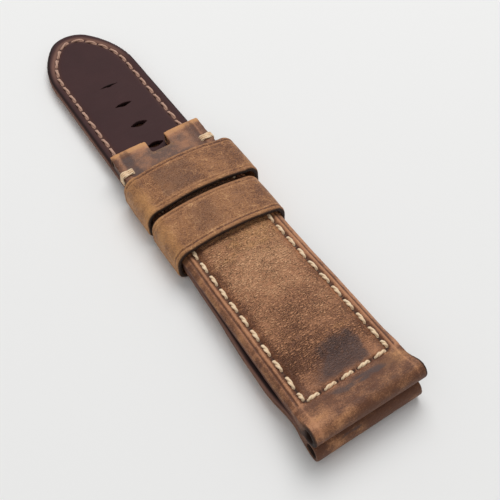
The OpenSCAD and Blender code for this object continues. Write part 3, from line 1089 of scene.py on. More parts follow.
@dataclass
class ShortPiece:
    """The buckle side: a padded leather cover over a lining, seamed round three sides.

    Its upper face carries patches: worn gold ones, partly painted highlights at the nose's left end and in a
    streak on the panel; paler ones, the one at the nose's left end a painted highlight; a painted shade over
    the lower panel; and a dulled patch of wear.
    """

    body: str = "short_strap"
    inset: float = 2.65
    lug_thick: float = 3.2
    end_thick: float = 2.3
    swell: float = 1.15
    row_end: float = 67.6
    cross_share: float = 0.7
    flank_width: float = 1.7
    edge_height: float = 1.7
    groove_off: float = 1.42
    lip_off: float = 1.08
    tack_at: float = 74.65
    notch_half: float = 2.4
    cross_girth: float = 0.84
    side_girth: float = 0.92
    under_depth: float = 0.26
    rubbed_and_lit: tuple[Spot, ...] = (Spot(-9.4, 3.4, 2.4, 1.3, 0.6), Spot(8.0, 5.6, 4.2, 2.2, 0.8),
                                Spot(4.5, 16.6, 3.0, 0.8, 0.7))
    pale: tuple[Spot, ...] = (Spot(0.0, 35.0, 8.0, 9.0, 0.42), Spot(-9.6, 3.0, 2.6, 1.4, 0.3))
    shaded: Spot = Spot(-3.0, 12.0, 8.0, 6.0, 0.34)
    dulled: Spot = Spot(1.0, 24.0, 5.5, 6.5, 0.12)

    def half(self, y: Array) -> Array:
        """Half the width at a place along the piece."""
        return LUG_HALF - (LUG_HALF - BUCKLE_HALF) * y / SHORT_LENGTH

    def slope(self) -> float:
        """How much thinner the piece gets for each millimetre of length."""
        return (self.lug_thick - self.end_thick) / (SHORT_LENGTH - CROSS_SEAM)

    def worn(self, y: Array) -> Array:
        """How far the sliding keeper has pressed the leather down at a place along the piece."""
        return 0.3 * ease(y, 26, 36) * (1 - ease(y, 40, 58))

    def level(self, y: Array) -> Array:
        """The leather's height over the lining's face, without the padding's crown.

        Args:
            y: Places along the piece.

        Returns:
            The height at each.
        """
        run = self.slope()
        nose_end = CROSS_SEAM - 1
        flat = self.lug_thick - run * (np.maximum(y, nose_end) - CROSS_SEAM)
        drop = 2 * NOSE_RADIUS - (self.lug_thick + run)
        return flat + np.maximum(0, nose_end - y) / (nose_end - NOSE_RADIUS) * drop - self.worn(y)

    def rows(self) -> list[tuple[float, float, float, float]]:
        """Sets out the seam on one face.

        Returns:
            For each stitch its x, y, direction in radians and length.
        """
        edge = self.half(CROSS_SEAM) - self.inset
        found = StitchRow((-edge, CROSS_SEAM), (edge, CROSS_SEAM), self.cross_share).stitches()
        for side in (-1, 1):
            stops = (CROSS_SEAM, ROW_START, self.row_end)
            knots = [(side * (self.half(y) - self.inset), y) for y in stops]
            for first, second in zip(knots, knots[1:]):
                found += StitchRow(first, second).stitches()
        return found

    def crown(self, x: Array, y: Array) -> Array:
        """How far the padding lifts the leather.

        Args:
            x: Places across the piece.
            y: Places along it.

        Returns:
            The lift in millimetres.
        """
        stations = [(CROSS_SEAM + 0.5, 0), (10.8, 0.62), (13.6, 0.92), (17.6, 1), (32, 0.96), (40, 0.84),
                    (46, 0.72), (58, 0.38), (66.2, 0)]
        share = through_stations(y, stations)
        reach = self.half(y) - self.inset - 0.35
        across = np.clip(np.abs(x) / reach, 0, 1)
        return self.swell * share * (1 - across ** 2.3) ** 0.85

    def sculpt(self, piece: bpy.types.Object) -> None:
        """Moves the cover's skin to the seamed, crowned surface and marks its wear.

        Args:
            piece: The cover.
        """
        mesh = piece.data
        spots = SHORT_LAY.to_piece(read_points(mesh))
        facing = read_points(mesh, "normal")
        x, y, z = spots.T.copy()
        half = self.half(y)
        seam = Seam(tuple(self.rows()))
        depth, holes = seam.pressed(x, y)
        inside = (half - self.inset) - np.abs(x)
        in_rows = ease(y, CROSS_SEAM - 0.4, CROSS_SEAM + 0.4)
        in_rows *= 1 - ease(y, self.row_end, self.row_end + 2)
        line = bell(inside + self.groove_off, 0.2) * in_rows
        rim = bell(inside + self.lip_off, 0.24) * in_rows
        fall = ease(y, NOSE_RADIUS + 0.3, CROSS_SEAM + 7.0)
        fall *= 1 - ease(y, self.row_end, self.row_end + 4)
        flank = np.clip((np.abs(x) - (half - self.flank_width)) / self.flank_width, 0, 1.1)
        top = self.level(y) - (self.level(y) - self.edge_height + self.worn(y)) * fall * flank ** 2
        top += self.crown(x, y) - depth - 0.24 * line + 0.13 * rim
        uneven = Unevenness(3)
        top += 0.05 * uneven.layered(spots, 5.0, 3.2, 50.0)
        middle = ease(inside, 0.5, 3.0) * in_rows
        top += 0.022 * uneven.at(spots, 2.6, 0.95, 50.0) * (0.35 + middle)
        upper = ease(facing[:, 2], 0.15, 0.5) * ease(y, 2.6, 3.8) * (z > 1.2)
        upper *= 1 - ease(y, SHORT_LENGTH - 6.0, SHORT_LENGTH - 4.0)
        z_new = z + (top - z) * upper - self.worn(y) * (1 - upper) * ease(z, 0.8, 1.6) * (flank > 0.8)
        fine = 0.03 * uneven.layered(spots + 40, 2.4, 2.0, 2.4) * (1 - upper)
        waist = 0.6 * bell(y - 4.9, 2.1) * ease(x, 9.6, 12.0)
        moved = np.stack([x - waist, y, z_new], 1) + fine[:, None] * facing
        move_points(mesh, SHORT_LAY.to_frame(self.rounded_tabs(moved)))
        self.mark_wear_and_shading(mesh, spots, inside, holes, line, upper)

    def rounded_tabs(self, spots: Array) -> Array:
        """Rounds the corners of the two tabs beside the tongue's notch.

        Args:
            spots: The cover's points in the piece's millimetres.

        Returns:
            The points with those at the tabs' corners drawn in.
        """
        x, y = spots[:, 0].copy(), spots[:, 1].copy()
        half = self.half(y)
        for edge, way, radius in ((half, 1, 1.0), (np.full(len(x), self.notch_half), -1, 1.1)):
            side = (radius - way * (edge - np.abs(x))) / radius
            ahead = (radius - (SHORT_LENGTH - y)) / radius
            near = (side > 0) & (ahead > 0) & (side < 1.4)
            pull = np.maximum(side, ahead) / np.maximum(np.hypot(side, ahead), 1e-6)
            new_x = edge - way * radius * (1 - side * pull)
            x = np.where(near, np.sign(x) * new_x, x)
            y = np.where(near, SHORT_LENGTH - radius * (1 - ahead * pull), y)
        return np.stack([x, y, spots[:, 2]], 1)

    def mark_wear_and_shading(self, mesh: bpy.types.Mesh, spots: Array, inside: Array, holes: Array, line: Array,
                  upper: Array) -> None:
        """Marks where the cover is worn gold, waxy or painted at its edges, and where shade and highlights
        are painted on it.

        Args:
            mesh: The cover's mesh.
            spots: Its points in the piece's millimetres.
            inside: How far inside the seam each lies.
            holes: How much of each is a stitch hole.
            line: How much of each is the pressed line outside the seam.
            upper: How much of each belongs to the upper face.
        """
        x, y, z = spots.T
        chance = Unevenness(5)
        blotch = chance.layered(spots, 3.0, 2.2, 9.0)
        fine = chance.layered(spots + 9, 1.1, 0.8, 3.0)
        half = self.half(y)
        ends = SHORT_LENGTH - y
        # Rubbed along the sides, at the nose, the tabs and the notch, and where the free keeper slides; the
        # patches at the nose's left end and on the panel are partly painted highlights
        sides = 0.55 * ease(np.abs(x), half - 1.1, half - 0.2) * (0.6 + 0.6 * blotch)
        notch = (1 - ease(np.abs(x), 2.6, 3.4)) * bell(y - 77.2, 0.6)
        gold = np.maximum.reduce([0.34 * (1 - ease(y, 5.5, 8.5)), sides, 0.9 * ease(-ends, -3.2, -1.6),
                                  notch, 0.45 * ease(y, 34, 44) * (1 - ease(y, 48, 52)),
                                  *(spot.on(x, y) for spot in self.rubbed_and_lit)])
        gold *= 1 + 0.5 * blotch
        # Grey wax at the panel's lower end, over the nose and on the buckle end
        patch = ease(x + 0.8 * blotch - 0.55 * (y - 9), -8.8, -2.0)
        patch *= 1 - ease(x + 0.8 * blotch, 4.6, 7.6)
        patch *= ease(y, 7.4, 9.6) * (1 - ease(y + 0.6 * blotch, 13.8, 16.6))
        band = ease(x + blotch, -7.5, -2.0) * (1 - ease(x + blotch, 5.0, 8.0))
        band *= bell(y - 5.9 + 0.05 * x + 0.4 * fine, 1.05) * (1 + 0.6 * chance.at(spots, 2.6, 0.5, 9.0))
        back = ease(y, 72.0, 73.5) * (1 - ease(y + 0.6 * fine, 78.6, 80.2)) * (0.85 + 0.4 * blotch)
        back *= (1 - ease(np.abs(x) + 0.6 * fine, 9.4, 11.2)) * (1 - 0.2 * ease(x, 2.0, 5.0))
        wax = np.maximum.reduce([1.05 * patch, 0.9 * band, 0.95 * back]) * (1 + 0.35 * fine)
        # Painted shade in the stitch holes, inside the seam, on the left flank and over the lower panel, a
        # darker pressed groove, and a paler panel
        left = x < 0
        painted_shade = 0.5 * bell(inside + 0.35, 0.4) + np.where(left, 0.5, 0.3) * bell(inside - 0.9, 0.75)
        painted_shade += self.shaded.on(x, y) + np.where(left, 0.35, 0.0) * ease(-inside, 1.5, 2.2)
        tone = -1.2 * holes - line - painted_shade * (y > CROSS_SEAM)
        # Painted highlights on the lip outside the groove and, in the paler patches, at the nose's left end
        tone += 0.35 * bell(inside + self.lip_off, 0.26)
        tone += sum(spot.on(x, y) for spot in self.pale) - self.dulled.on(x, y)
        tone += 0.32 * ease(y, 27, 40) * (1 - ease(y, 60, 66)) * ease(inside, 0.4, 2.0)
        tone += 0.28 * ease(y, 11.0, 20.0) * ease(inside, 0.2, 2.0) - 0.1 * bell(y - 14, 5.0)
        # Painted shade over the nose, darker on its underside, and over the buckle end
        tone -= 0.5 * (1 - ease(y, 6.8, 8.2)) + (0.28 + 0.1 * ease(x, 1.0, 4.0)) * ease(y, 68, 72)
        tone -= 0.55 * (1 - ease(z, 0.8, 3.6)) * (1 - ease(y, 3.0, 5.0))
        tone += 0.5 * ease(-ends, -2.6, -1.2) + 0.10 * blotch
        # Painted shadow in the gap between the keepers and just in front of the free keeper
        free_start, free_end = stretch("free_keeper")
        between = (free_end + stretch("fixed_keeper")[0]) / 2
        tone -= 1.1 * bell(y - between, 0.9) + 0.7 * bell(y - (free_start - 0.3), 0.4)
        # Grain on the panel, the painted cut edges, and painted shade in the bores, the stitch holes and the
        # gap between the keepers
        panel = ease(y, 9.0, 15.0) * (1 + 0.25 * ease(y, 30, 42))
        panel *= (1 - ease(y, 64, 70)) * ease(inside, 0.2, 1.8)
        grain = (0.12 + 0.9 * panel) * (1 + 0.35 * blotch)
        paint = bore_shade(y - NOSE_RADIUS, z - NOSE_RADIUS, LUG_BORE)
        paint += bore_shade(ends - FOLD_RADIUS, z - FOLD_RADIUS, BUCKLE_BORE)
        rim = ease(np.abs(x), half - 0.3, half - 0.08) * (1 - ease(y, 2.5, 6.0))
        lower = 0.8 * (1 - ease(z, 0.9, 1.5)) * (1 - upper) * (np.abs(x) > half - 0.5)
        paint = np.maximum.reduce([paint, rim, lower, 0.9 * ease(holes, 0.35, 0.85) * upper,
                                   bell(y - between) * upper])
        set_marks(mesh, gold=gold, wax=wax, tone=tone, paint=paint, grain=grain)

    def shape_lining(self, piece: bpy.types.Object) -> None:
        """Rounds the lower corner of the lining's cut edge, darkens that corner as painted shade in the
        crevice below it, and pales the edge above.

        Args:
            piece: The lining.
        """
        spots = SHORT_LAY.to_piece(read_points(piece.data))
        z = spots[:, 2].copy()
        from_edge = self.half(spots[:, 1]) - np.abs(spots[:, 0])
        spots[:, 2] += 0.45 * np.clip(1 - z, 0, 1) * (1 - ease(from_edge, 0.0, 0.9)) ** 2
        move_points(piece.data, SHORT_LAY.to_frame(spots))
        edge = 1 - ease(from_edge, 0.05, 0.5)
        # Painted shade on the edge's lowest part, in the crevice, and a paler edge above
        set_marks(piece.data, paint=edge * (1 - ease(z, 0.3, 0.5)), gold=0.95 * edge * ease(z, 0.35, 0.55))

    def build(self) -> None:
        """Builds the cover, lining, padding, tape and thread."""
        skinned("short_top_leather", "short_cover", self.body, TOP_LEATHER,
                cell=0.25, rounds=4, shape=self.sculpt)
        skinned("short_lining", "short_inner", self.body, LINING,
                cell=0.3, rounds=2, shape=self.shape_lining)
        padding = skinned("short_padding", "short_pad", self.body, FELT,
                          cell=0.45, rounds=4)
        TAPE.dress(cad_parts["short_stay_tape"])
        thread = Stitching("short_thread", SHORT_LAY, CREAM_THREAD)
        for x, y, turn, length in self.rows():
            ahead, aside = math.sin(turn), math.cos(turn)
            top = float(self.level(np.array(y))) - thread.rise
            girth = self.cross_girth if y < CROSS_SEAM + 0.1 else self.side_girth
            thread.add((x, y, top), (aside, ahead, -self.slope() * ahead), (0, 0, 1), length, girth)
            thread.add((x, y, self.under_depth), (aside, ahead, 0), (0, 0, -1), length)
        finish_piece(thread.build(), self.body, "short_stitching")


@dataclass
class LongPiece:
    """The tail side, lying lining up: cover, lining with the tongue slots, padding and thread.

    Slots_open is half of what stays open at each slot's middle in the lining, from the tip on, and
    slots_shut the same in the cover. From pressed_from to pressed_to, inside the keepers, the thread
    lies deeper in the cover.
    """

    body: str = "long_strap"
    inset: float = 2.3
    lug_thick: float = 3.1
    tail_thick: float = 2.2
    thin_from: float = 44.0
    tip_length: float = 19.0
    tip_radius: float = 6.75
    seam_end: float = 3.3
    seam_radius: float = 4.2
    slot_first: float = 25.5
    slot_step: float = 8.4
    slot_aside: float = -0.7
    slot_run: float = 1.5
    slot_half: float = 0.8
    slots_open: tuple[float, ...] = (0.3, 0.6, 0.8, 0.8, 0.8, 0.8, 0.8)
    slots_shut: float = 0.08
    slot_reach: float = 2.6
    stitch_share: float = 0.9
    under_depth: float = 0.17
    cover_depth: float = 0.36
    pressed_depth: float = 0.48
    pressed_from: float = 55.0
    pressed_to: float = 73.0

    @property
    def slot_places(self) -> list[float]:
        """How far each tongue slot lies from the nose, from the tip on."""
        return [LONG_LENGTH - self.slot_first - self.slot_step * i for i in range(len(self.slots_open))]

    def half(self, y: Array) -> Array:
        """Half the width at a place along the piece, up to the tip."""
        return TAIL_HALF + (LUG_HALF - TAIL_HALF) * np.maximum(0, 1 - y / NARROWING)

    def thick(self, y: float) -> float:
        """The piece's thickness beside the padding."""
        run = (self.lug_thick - self.tail_thick) / (self.thin_from - CROSS_SEAM)
        return self.tail_thick + run * max(0.0, self.thin_from - y)

    def tip(self, half: float, length: float, radius: float) -> tuple[float, float, float]:
        """The arcs of a bullet tip.

        Args:
            half: Its half width.
            length: Its length.
            radius: The end arc's radius.

        Returns:
            The flank arc's radius, its centre's distance past the middle, and its turn in radians.
        """
        reach = length - radius
        flank = (half ** 2 + reach ** 2 - radius ** 2) / (2 * (half - radius))
        return flank, flank - half, math.asin(reach / (flank - radius))

    def rows(self) -> list[tuple[float, float, float, float]]:
        """Sets out the seam on one face, with the tip's arcs.

        Returns:
            For each stitch its x, y, direction in radians and length.
        """
        start = LONG_LENGTH - self.tip_length
        length = self.tip_length - self.seam_end
        flank, off, turned = self.tip(TAIL_HALF - self.inset, length, self.seam_radius)
        edge = float(self.half(np.array(CROSS_SEAM))) - self.inset
        found = StitchRow((-edge, CROSS_SEAM), (edge, CROSS_SEAM)).stitches()
        stops = (CROSS_SEAM, ROW_START, self.thin_from, NARROWING, start)
        for side in (-1, 1):
            knots = [(side * (float(self.half(np.array(y))) - self.inset), y) for y in stops]
            for first, second in zip(knots, knots[1:]):
                found += StitchRow(first, second, self.stitch_share).stitches()
        end = self.seam_radius
        flank_run, end_run = flank * turned, end * (math.pi / 2 - turned)
        run = 2 * (flank_run + end_run)
        count = round(run / PITCH)
        for i in range(count):
            gone = run * (i + 0.5) / count
            side = -1 if gone <= run / 2 else 1
            gone = min(gone, run - gone)
            if gone < flank_run:
                angle = gone / flank
                x, y = flank * math.cos(angle) - off, start + flank * math.sin(angle)
            else:
                angle = turned + (gone - flank_run) / end
                x, y = end * math.cos(angle), start + length - end + end * math.sin(angle)
            found.append((side * x, y, math.pi / 2 + side * angle, PITCH * self.stitch_share))
        return found

    def inside(self, spots: Array, inset: float, length: float, radius: float) -> Array:
        """How far inside an outline each point of the plan lies.

        Args:
            spots: Points in the piece's millimetres.
            inset: How far the outline runs inside the piece's edge, along the sides.
            length: The outline's tip length.
            radius: The outline's end radius.

        Returns:
            The distance, below 0 outside.
        """
        start = LONG_LENGTH - self.tip_length
        flank, off, turned = self.tip(TAIL_HALF - inset, length, radius)
        x, y = np.abs(spots[:, 0]), spots[:, 1]
        centre = start + length - radius
        by_side = self.half(y) - inset - x
        by_flank = flank - np.hypot(x + off, y - start)
        by_end = radius - np.hypot(x, y - centre)
        past = (np.arctan2(y - centre, np.maximum(x, 1e-6)) > turned) & (y > centre)
        return np.where(y < start, by_side, np.where(past, by_end, by_flank))

    def sculpt_lining(self, piece: bpy.types.Object) -> None:
        """Presses the seam into the lining and marks its pale rim, partly a painted highlight round the tip,
        its painted edge, and painted shade in the stitch holes and in the crevice under the short piece.

        Args:
            piece: The lining.
        """
        mesh = piece.data
        spots = LONG_LAY.to_piece(read_points(mesh))
        facing = read_points(mesh, "normal")
        x, y, z = spots.T.copy()
        depth, holes = Seam(tuple(self.rows()), depth=0.24, hole=0.16).pressed(x, y)
        inside = self.inside(spots, 0, self.tip_length, self.tip_radius)
        seam_off = self.inside(spots, self.inset, self.tip_length - self.seam_end, self.seam_radius)
        valley = 0.16 * bell(seam_off, 0.7) * (y > CROSS_SEAM)
        tail = ease(y, 80, 84)
        round_edge = (0.62 - 0.34 * tail) * (1 - ease(inside, 0.0, 0.9)) ** 2
        lift = -0.05 * bell(seam_off + 1.1, 0.55)
        uneven = Unevenness(8)
        face = np.maximum(depth, valley) + lift + 0.015 * uneven.layered(spots, 6, 5, 50)
        lips = [Spot(self.slot_aside, place, 3.1, 1.35, 0.05).on(x, y) for place in self.slot_places]
        face -= np.maximum.reduce(lips)
        upper = ease(facing[:, 2], 0.3, 0.6) * (z < 0.6)
        z_new = z + (face - z) * upper
        z_new += round_edge * np.clip(1 - z_new, 0, 1)
        moved = self.closed_slots(np.stack([x, y, z_new], 1), self.slots_open)
        move_points(mesh, LONG_LAY.to_frame(moved))
        tip = ease(y, 113, 123)
        # Painted highlight: a paler band just outside the seam round the tip, where the rim rolls up towards
        # the light
        pale = 0.9 * tip * bell(seam_off + 0.75, 0.62)
        pale = np.maximum(pale, 0.4 * bell(seam_off, 0.6))
        cut = 1 - ease(inside - 0.45 * ease(x, 0.0, 5.0), 0.15, 0.55)
        rim = (1 - ease(inside, 0.05, 0.3)) * ease(x, 2.0, 6.0) * (1 - ease(y, 118, 124)) * tail
        pale = np.maximum.reduce([pale * tail, (1 - ease(inside, 0.25, 0.45)) * (1 - tail), rim])
        # Painted shadow in the crevice under the short piece's edge, and painted shade in the stitch holes
        crevice = ease(inside, 0.3, 0.5) * (1 - ease(inside, 2.0, 2.6)) * (1 - tail)
        paint = np.maximum.reduce([cut * tail - rim, 0.8 * ease(holes, 0.4, 0.9), crevice])
        paint = np.maximum(paint, 0.9 * ease(self.slot_wall(x, y), 0.2, 0.6) * (z > 0.12))
        set_marks(mesh, gold=np.maximum(pale, 0), paint=np.clip(paint, 0, 1) * 0.9)

    def slot_wall(self, x: Array, y: Array) -> Array:
        """How near each place of the plan lies to a tongue slot's wall.

        Args:
            x: Places across the piece.
            y: Places along it.

        Returns:
            The nearness, 1 at the wall.
        """
        near = np.zeros(len(x))
        for place in self.slot_places:
            run = np.maximum(np.abs(x - self.slot_aside) - self.slot_run, 0)
            near = np.maximum(near, bell(np.hypot(run, y - place) - self.slot_half, 0.22))
        return near

    def closed_slots(self, spots: Array, open_to: Sequence[float]) -> Array:
        """Draws the leather together at the slots, as it lies when no tongue is in, into lens shapes.

        Args:
            spots: Points in the piece's millimetres.
            open_to: Half of what stays open at each slot's middle, from the tip on.

        Returns:
            The points with each slot drawn nearly shut.
        """
        x, y, z = spots.T.copy()
        still, end = self.slot_reach, self.slot_run + self.slot_half
        for place, gap in zip(self.slot_places, open_to):
            off, aside = y - place, np.abs(x - self.slot_aside)
            run = np.clip(aside - self.slot_run, 0, self.slot_half)
            wall = np.sqrt(self.slot_half ** 2 - run ** 2)
            lens = np.minimum(gap * np.clip(1 - (aside / end) ** 2, 0, 1), wall)
            share = np.clip((np.abs(off) - wall) / (still - wall), 0, 1)
            near = (np.abs(off) < still) & (np.abs(off) > 0.02) & (aside < end)
            y = np.where(near, place + np.sign(off) * (lens + (still - lens) * share), y)
        return np.stack([x, y, z], 1)

    def cleared_tape(self) -> bpy.types.Object:
        """Copies the stay tape with wider slots, so that it stays back from the leather's.

        Returns:
            The tape.
        """
        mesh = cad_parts["long_stay_tape"].data.copy()
        mesh.name = "long_tape"
        x, y, z = LONG_LAY.to_piece(read_points(mesh)).T.copy()
        for place in self.slot_places:
            run = np.clip(x - self.slot_aside, -self.slot_run, self.slot_run)
            out = np.stack([x - self.slot_aside - run, y - place], 1)
            reach = np.linalg.norm(out, axis=1)
            near = reach < self.slot_half + 0.05
            wider = 1 + np.where(near, 1.0 / np.maximum(reach, 0.1), 0)
            x = np.where(near, self.slot_aside + run + out[:, 0] * wider, x)
            y = np.where(near, place + out[:, 1] * wider, y)
        move_points(mesh, LONG_LAY.to_frame(np.stack([x, y, z], 1)))
        return as_object("long_tape", mesh)

    def shape_cover(self, piece: bpy.types.Object) -> None:
        """Draws the slots shut and marks the worn nose, the pale edge, the painted edges, and painted shade
        in the bore and behind the slots.

        Args:
            piece: The cover.
        """
        mesh = piece.data
        spots = LONG_LAY.to_piece(read_points(mesh))
        shut = self.closed_slots(spots, [self.slots_shut] * len(self.slot_places))
        move_points(mesh, LONG_LAY.to_frame(shut))
        x, y, z = spots.T
        chance = Unevenness(17)
        streaks = chance.layered(spots, 5.0, 0.9, 0.9)
        blotch = chance.layered(spots, 3.0, 2.6, 3.0)
        inside = self.inside(spots, 0, self.tip_length, self.tip_radius)
        gold = 0.5 * (1 - ease(y, 4, 7)) * (0.7 + 0.8 * blotch)
        gold = np.maximum(gold, 0.4 * (1 - ease(inside, 0.1, 0.9)) * (z > 1.0))
        wax = 0.85 * (1 - ease(y, 3, 6)) * ease(streaks, 0.05, 0.6) * ease(x, -12, 2)
        face = ease(z, 1.5, 2.1) * ease(y, 6.0, 10.0)
        seam = self.inside(spots, self.inset, self.tip_length - self.seam_end, self.seam_radius)
        # Painted shade inside the lug bore
        paint = bore_shade(y - NOSE_RADIUS, z - NOSE_RADIUS, LUG_BORE)
        paint += 0.6 * (1 - ease(z, 1.0, 1.25)) * (inside < 0.5) * (y > 5)
        # Painted shade behind the slots
        paint = np.maximum.reduce([paint, ease(self.slot_wall(x, y), 0.02, 0.2) * (z < 2.0),
                                   0.5 * bell(seam + 1.2, 0.2) * face])
        grain = 0.12 + 0.7 * face * ease(seam, 0.3, 1.5)
        tone = 0.35 * blotch - 0.65 + 0.55 * face
        set_marks(mesh, gold=gold, wax=wax, tone=tone, paint=paint, grain=grain)

    def build(self) -> None:
        """Builds the cover, lining, padding, tape and thread."""
        skinned("long_top_leather", "long_cover", self.body, TOP_LEATHER,
                cell=0.33, rounds=2, shape=self.shape_cover)
        skinned("long_lining", "long_inner", self.body, LINING,
                cell=0.27, rounds=2, shape=self.sculpt_lining)
        padding = skinned("long_padding", "long_pad", self.body, FELT,
                          cell=0.45, rounds=4)
        tape = self.cleared_tape()
        TAPE.dress(tape)
        finish_piece(tape, self.body, "long_stay_tape")
        thread = Stitching("long_thread", LONG_LAY, TAIL_THREAD, rise=0.1, ply=0.31, twists=0.5)
        for x, y, turn, length in self.rows():
            along = (math.cos(turn), math.sin(turn), 0)
            pressed = self.pressed_from < y < self.pressed_to
            sunk = self.pressed_depth if pressed else self.cover_depth
            thread.add((x, y, self.under_depth), along, (0, 0, -1), length)
            thread.add((x, y, self.thick(y) - sunk), along, (0, 0, 1), length)
        finish_piece(thread.build(), self.body, "long_stitching")


@dataclass
class Keeper:
    """A leather loop round both pieces, with painted edges and a line pressed beside each edge.

    The veil is how strongly wax greys the middle, veil_full the place across where it is at its full
    strength, and lines how dark the two pressed lines are. Its middle, half, start and width come from
    the box of its CAD solid.
    """

    name: str
    node: str
    body: str
    seed: int
    veil: float
    veil_full: float
    lines: tuple[float, float]
    height: float = 9.05
    thick: float = 1.1
    arch: float = 46.0
    arch_drop: float = 1.0
    shoulder: float = 3.4
    foot: float = 2.4
    rings: int = 300
    stitch_shares: tuple[float, float] = (0.3, 0.7)
    line_inset: float = 1.15
    line_half: float = 0.14
    middle: float = field(init=False)
    half: float = field(init=False)
    start: float = field(init=False)
    width: float = field(init=False)

    def __post_init__(self) -> None:
        """Reads the loop's place and size from the frame."""
        low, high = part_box(self.node)
        self.middle = round((low.x + high.x) / 2 / MM + MIDDLE_X, 3)
        self.half = round((high.x - low.x) / 2 / MM, 3)
        self.start, end = stretch(self.node)
        self.width = round(end - self.start, 3)

    def outline(self) -> Array:
        """The loop's outer line, from under the middle and round to the right.

        Returns:
            The points, x and z in millimetres.
        """
        centre_x = self.half - self.shoulder
        centre_z = self.height - self.arch_drop - self.shoulder
        foot_x = self.half - self.foot
        right = [(x, 0.0) for x in np.linspace(0, foot_x, 30, endpoint=False)]
        right += [(foot_x + self.foot * math.cos(a), self.foot + self.foot * math.sin(a))
                  for a in np.linspace(-math.pi / 2, 0, 16, endpoint=False)]
        right += [(self.half, z) for z in np.linspace(self.foot, centre_z, 10, endpoint=False)]
        right += [(centre_x + self.shoulder * math.cos(a), centre_z + self.shoulder * math.sin(a))
                  for a in np.linspace(0, math.pi / 2 - 0.12, 26, endpoint=False)]
        right += [(x, self.height - self.arch + math.sqrt(self.arch ** 2 - x ** 2))
                  for x in np.linspace(centre_x, 0, 30, endpoint=False)]
        line = np.array(right + [(0.0, self.height)] + [(-x, z) for x, z in right[:0:-1]])
        _, ring = evened(np.vstack([line, line[:1]]), self.rings, to_end=False)
        for _ in range(4):
            ring = ring * 0.5 + (np.roll(ring, 1, 0) + np.roll(ring, -1, 0)) * 0.25
        return ring

    def section(self) -> tuple[Array, Array, Array]:
        """The strip's cut across its width: rounded edges, and a line pressed in beside each.

        Returns:
            For each point round the cut, how far it is along the width, how deep it lies from the
            outer face, and how much of it is painted edge.
        """
        half, sunk = self.thick / 2, 0.10
        corner = half * 0.8
        far = self.width - corner
        across = np.linspace(corner, far, 52)
        from_edge = np.minimum(across, self.width - across)
        line = bell(from_edge - self.line_inset, self.line_half)
        lip = bell(from_edge - 0.7, 0.3)
        depth = 0.15 * line - 0.06 * lip
        depth += sunk * (1 - ease(from_edge, 0.3, 1.0)) - 0.05 * ease(from_edge, 1.2, 4)
        outer = np.stack([across, depth], 1)
        bend = np.linspace(0, math.pi, 12)[1:-1]
        right = np.stack([far + corner * np.sin(bend), half - half * np.cos(bend)], 1)
        right[:, 1] += sunk * (1 + np.cos(bend)) / 2
        inner = np.stack([np.linspace(far, corner, 20), np.full(20, self.thick)], 1)
        left = np.stack([corner - corner * np.sin(bend), half + half * np.cos(bend)], 1)
        left[:, 1] += sunk * (1 - np.cos(bend)) / 2
        ring = np.vstack([outer, right, inner, left])
        near = np.minimum(ring[:, 0], self.width - ring[:, 0])
        paint = (1 - ease(near, 0.18, 0.5)) * ease(ring[:, 1], 0.06, 0.3)
        return ring[:, 0], ring[:, 1], paint

    def swept(self, along: Array, depth: Array) -> tuple[Array, Array]:
        """Sweeps the strip's cut round the loop, a little uneven, with beds for the stitches.

        Args:
            along: How far along the width each point of the cut is.
            depth: How deep it lies from the outer face.

        Returns:
            The points in millimetres, and how much of each is the join under the strap.
        """
        ring = self.outline()
        ahead = np.roll(ring, -1, 0) - np.roll(ring, 1, 0)
        ahead /= np.linalg.norm(ahead, axis=1)[:, None]
        inward = np.stack([-ahead[:, 1], ahead[:, 0]], 1)
        chance = Unevenness(self.seed)
        x = ring[:, None, 0] + inward[:, None, 0] * depth[None]
        z = ring[:, None, 1] + inward[:, None, 1] * depth[None]
        y = np.broadcast_to(self.start + along[None], x.shape)
        spots = np.stack([x, y, z], 2).reshape(-1, 3)
        out = -np.repeat(inward, len(along), 0)
        outer = np.tile(depth < 0.4, self.rings)
        wave = 0.05 * chance.layered(spots, 5.0, 4.0, 5.0) + 0.02 * chance.at(spots, 1.3, 1.6, 1.3)
        foot = spots[:, 2] < 1.6
        slit = bell(spots[:, 0], 0.22) * foot * outer
        beds = [bell(along - self.width * share, 0.38) for share in self.stitch_shares]
        bed = np.tile(np.maximum.reduce(beds), self.rings)
        bed = bed * (1 - ease(np.abs(spots[:, 0]), 1.5, 1.9)) * foot * outer
        move = np.where(outer & ~foot, wave, 0) - np.maximum(0.3 * slit, 0.22 * bed)
        spots[:, 0] += out[:, 0] * move
        spots[:, 2] = np.maximum(spots[:, 2] + out[:, 1] * move, 0.0)
        return spots, slit

    def build(self) -> None:
        """Makes the loop and sews its ends."""
        along, depth, paint = self.section()
        spots, slit = self.swept(along, depth)
        n = len(along)
        faces = []
        for here in range(self.rings):
            there = (here + 1) % self.rings
            faces += [(here * n + j, there * n + j, there * n + (j + 1) % n, here * n + (j + 1) % n)
                      for j in range(n)]
        lay = Lay(Turn.LEATHER_UP, shift=-self.middle, lead=0.0, height=0.0, tilt=0.0)
        piece = from_points(self.name, lay.to_frame(spots), faces)
        face_outwards(piece.data)
        self.mark_wear_and_shading(piece.data, spots, np.tile(along, self.rings), np.tile(paint, self.rings), slit)
        KEEPER_LEATHER.dress(piece)
        finish_piece(piece, self.body, self.node)
        thread = Stitching(self.name + "_thread", lay, CREAM_THREAD, rise=0.05, ply=0.15)
        for share in self.stitch_shares:
            thread.add((0.0, self.start + self.width * share, 0.3), (1, 0, 0), (0, 0, -1), 3.0)
        finish_piece(thread.build(), self.body, self.node + "_thread")

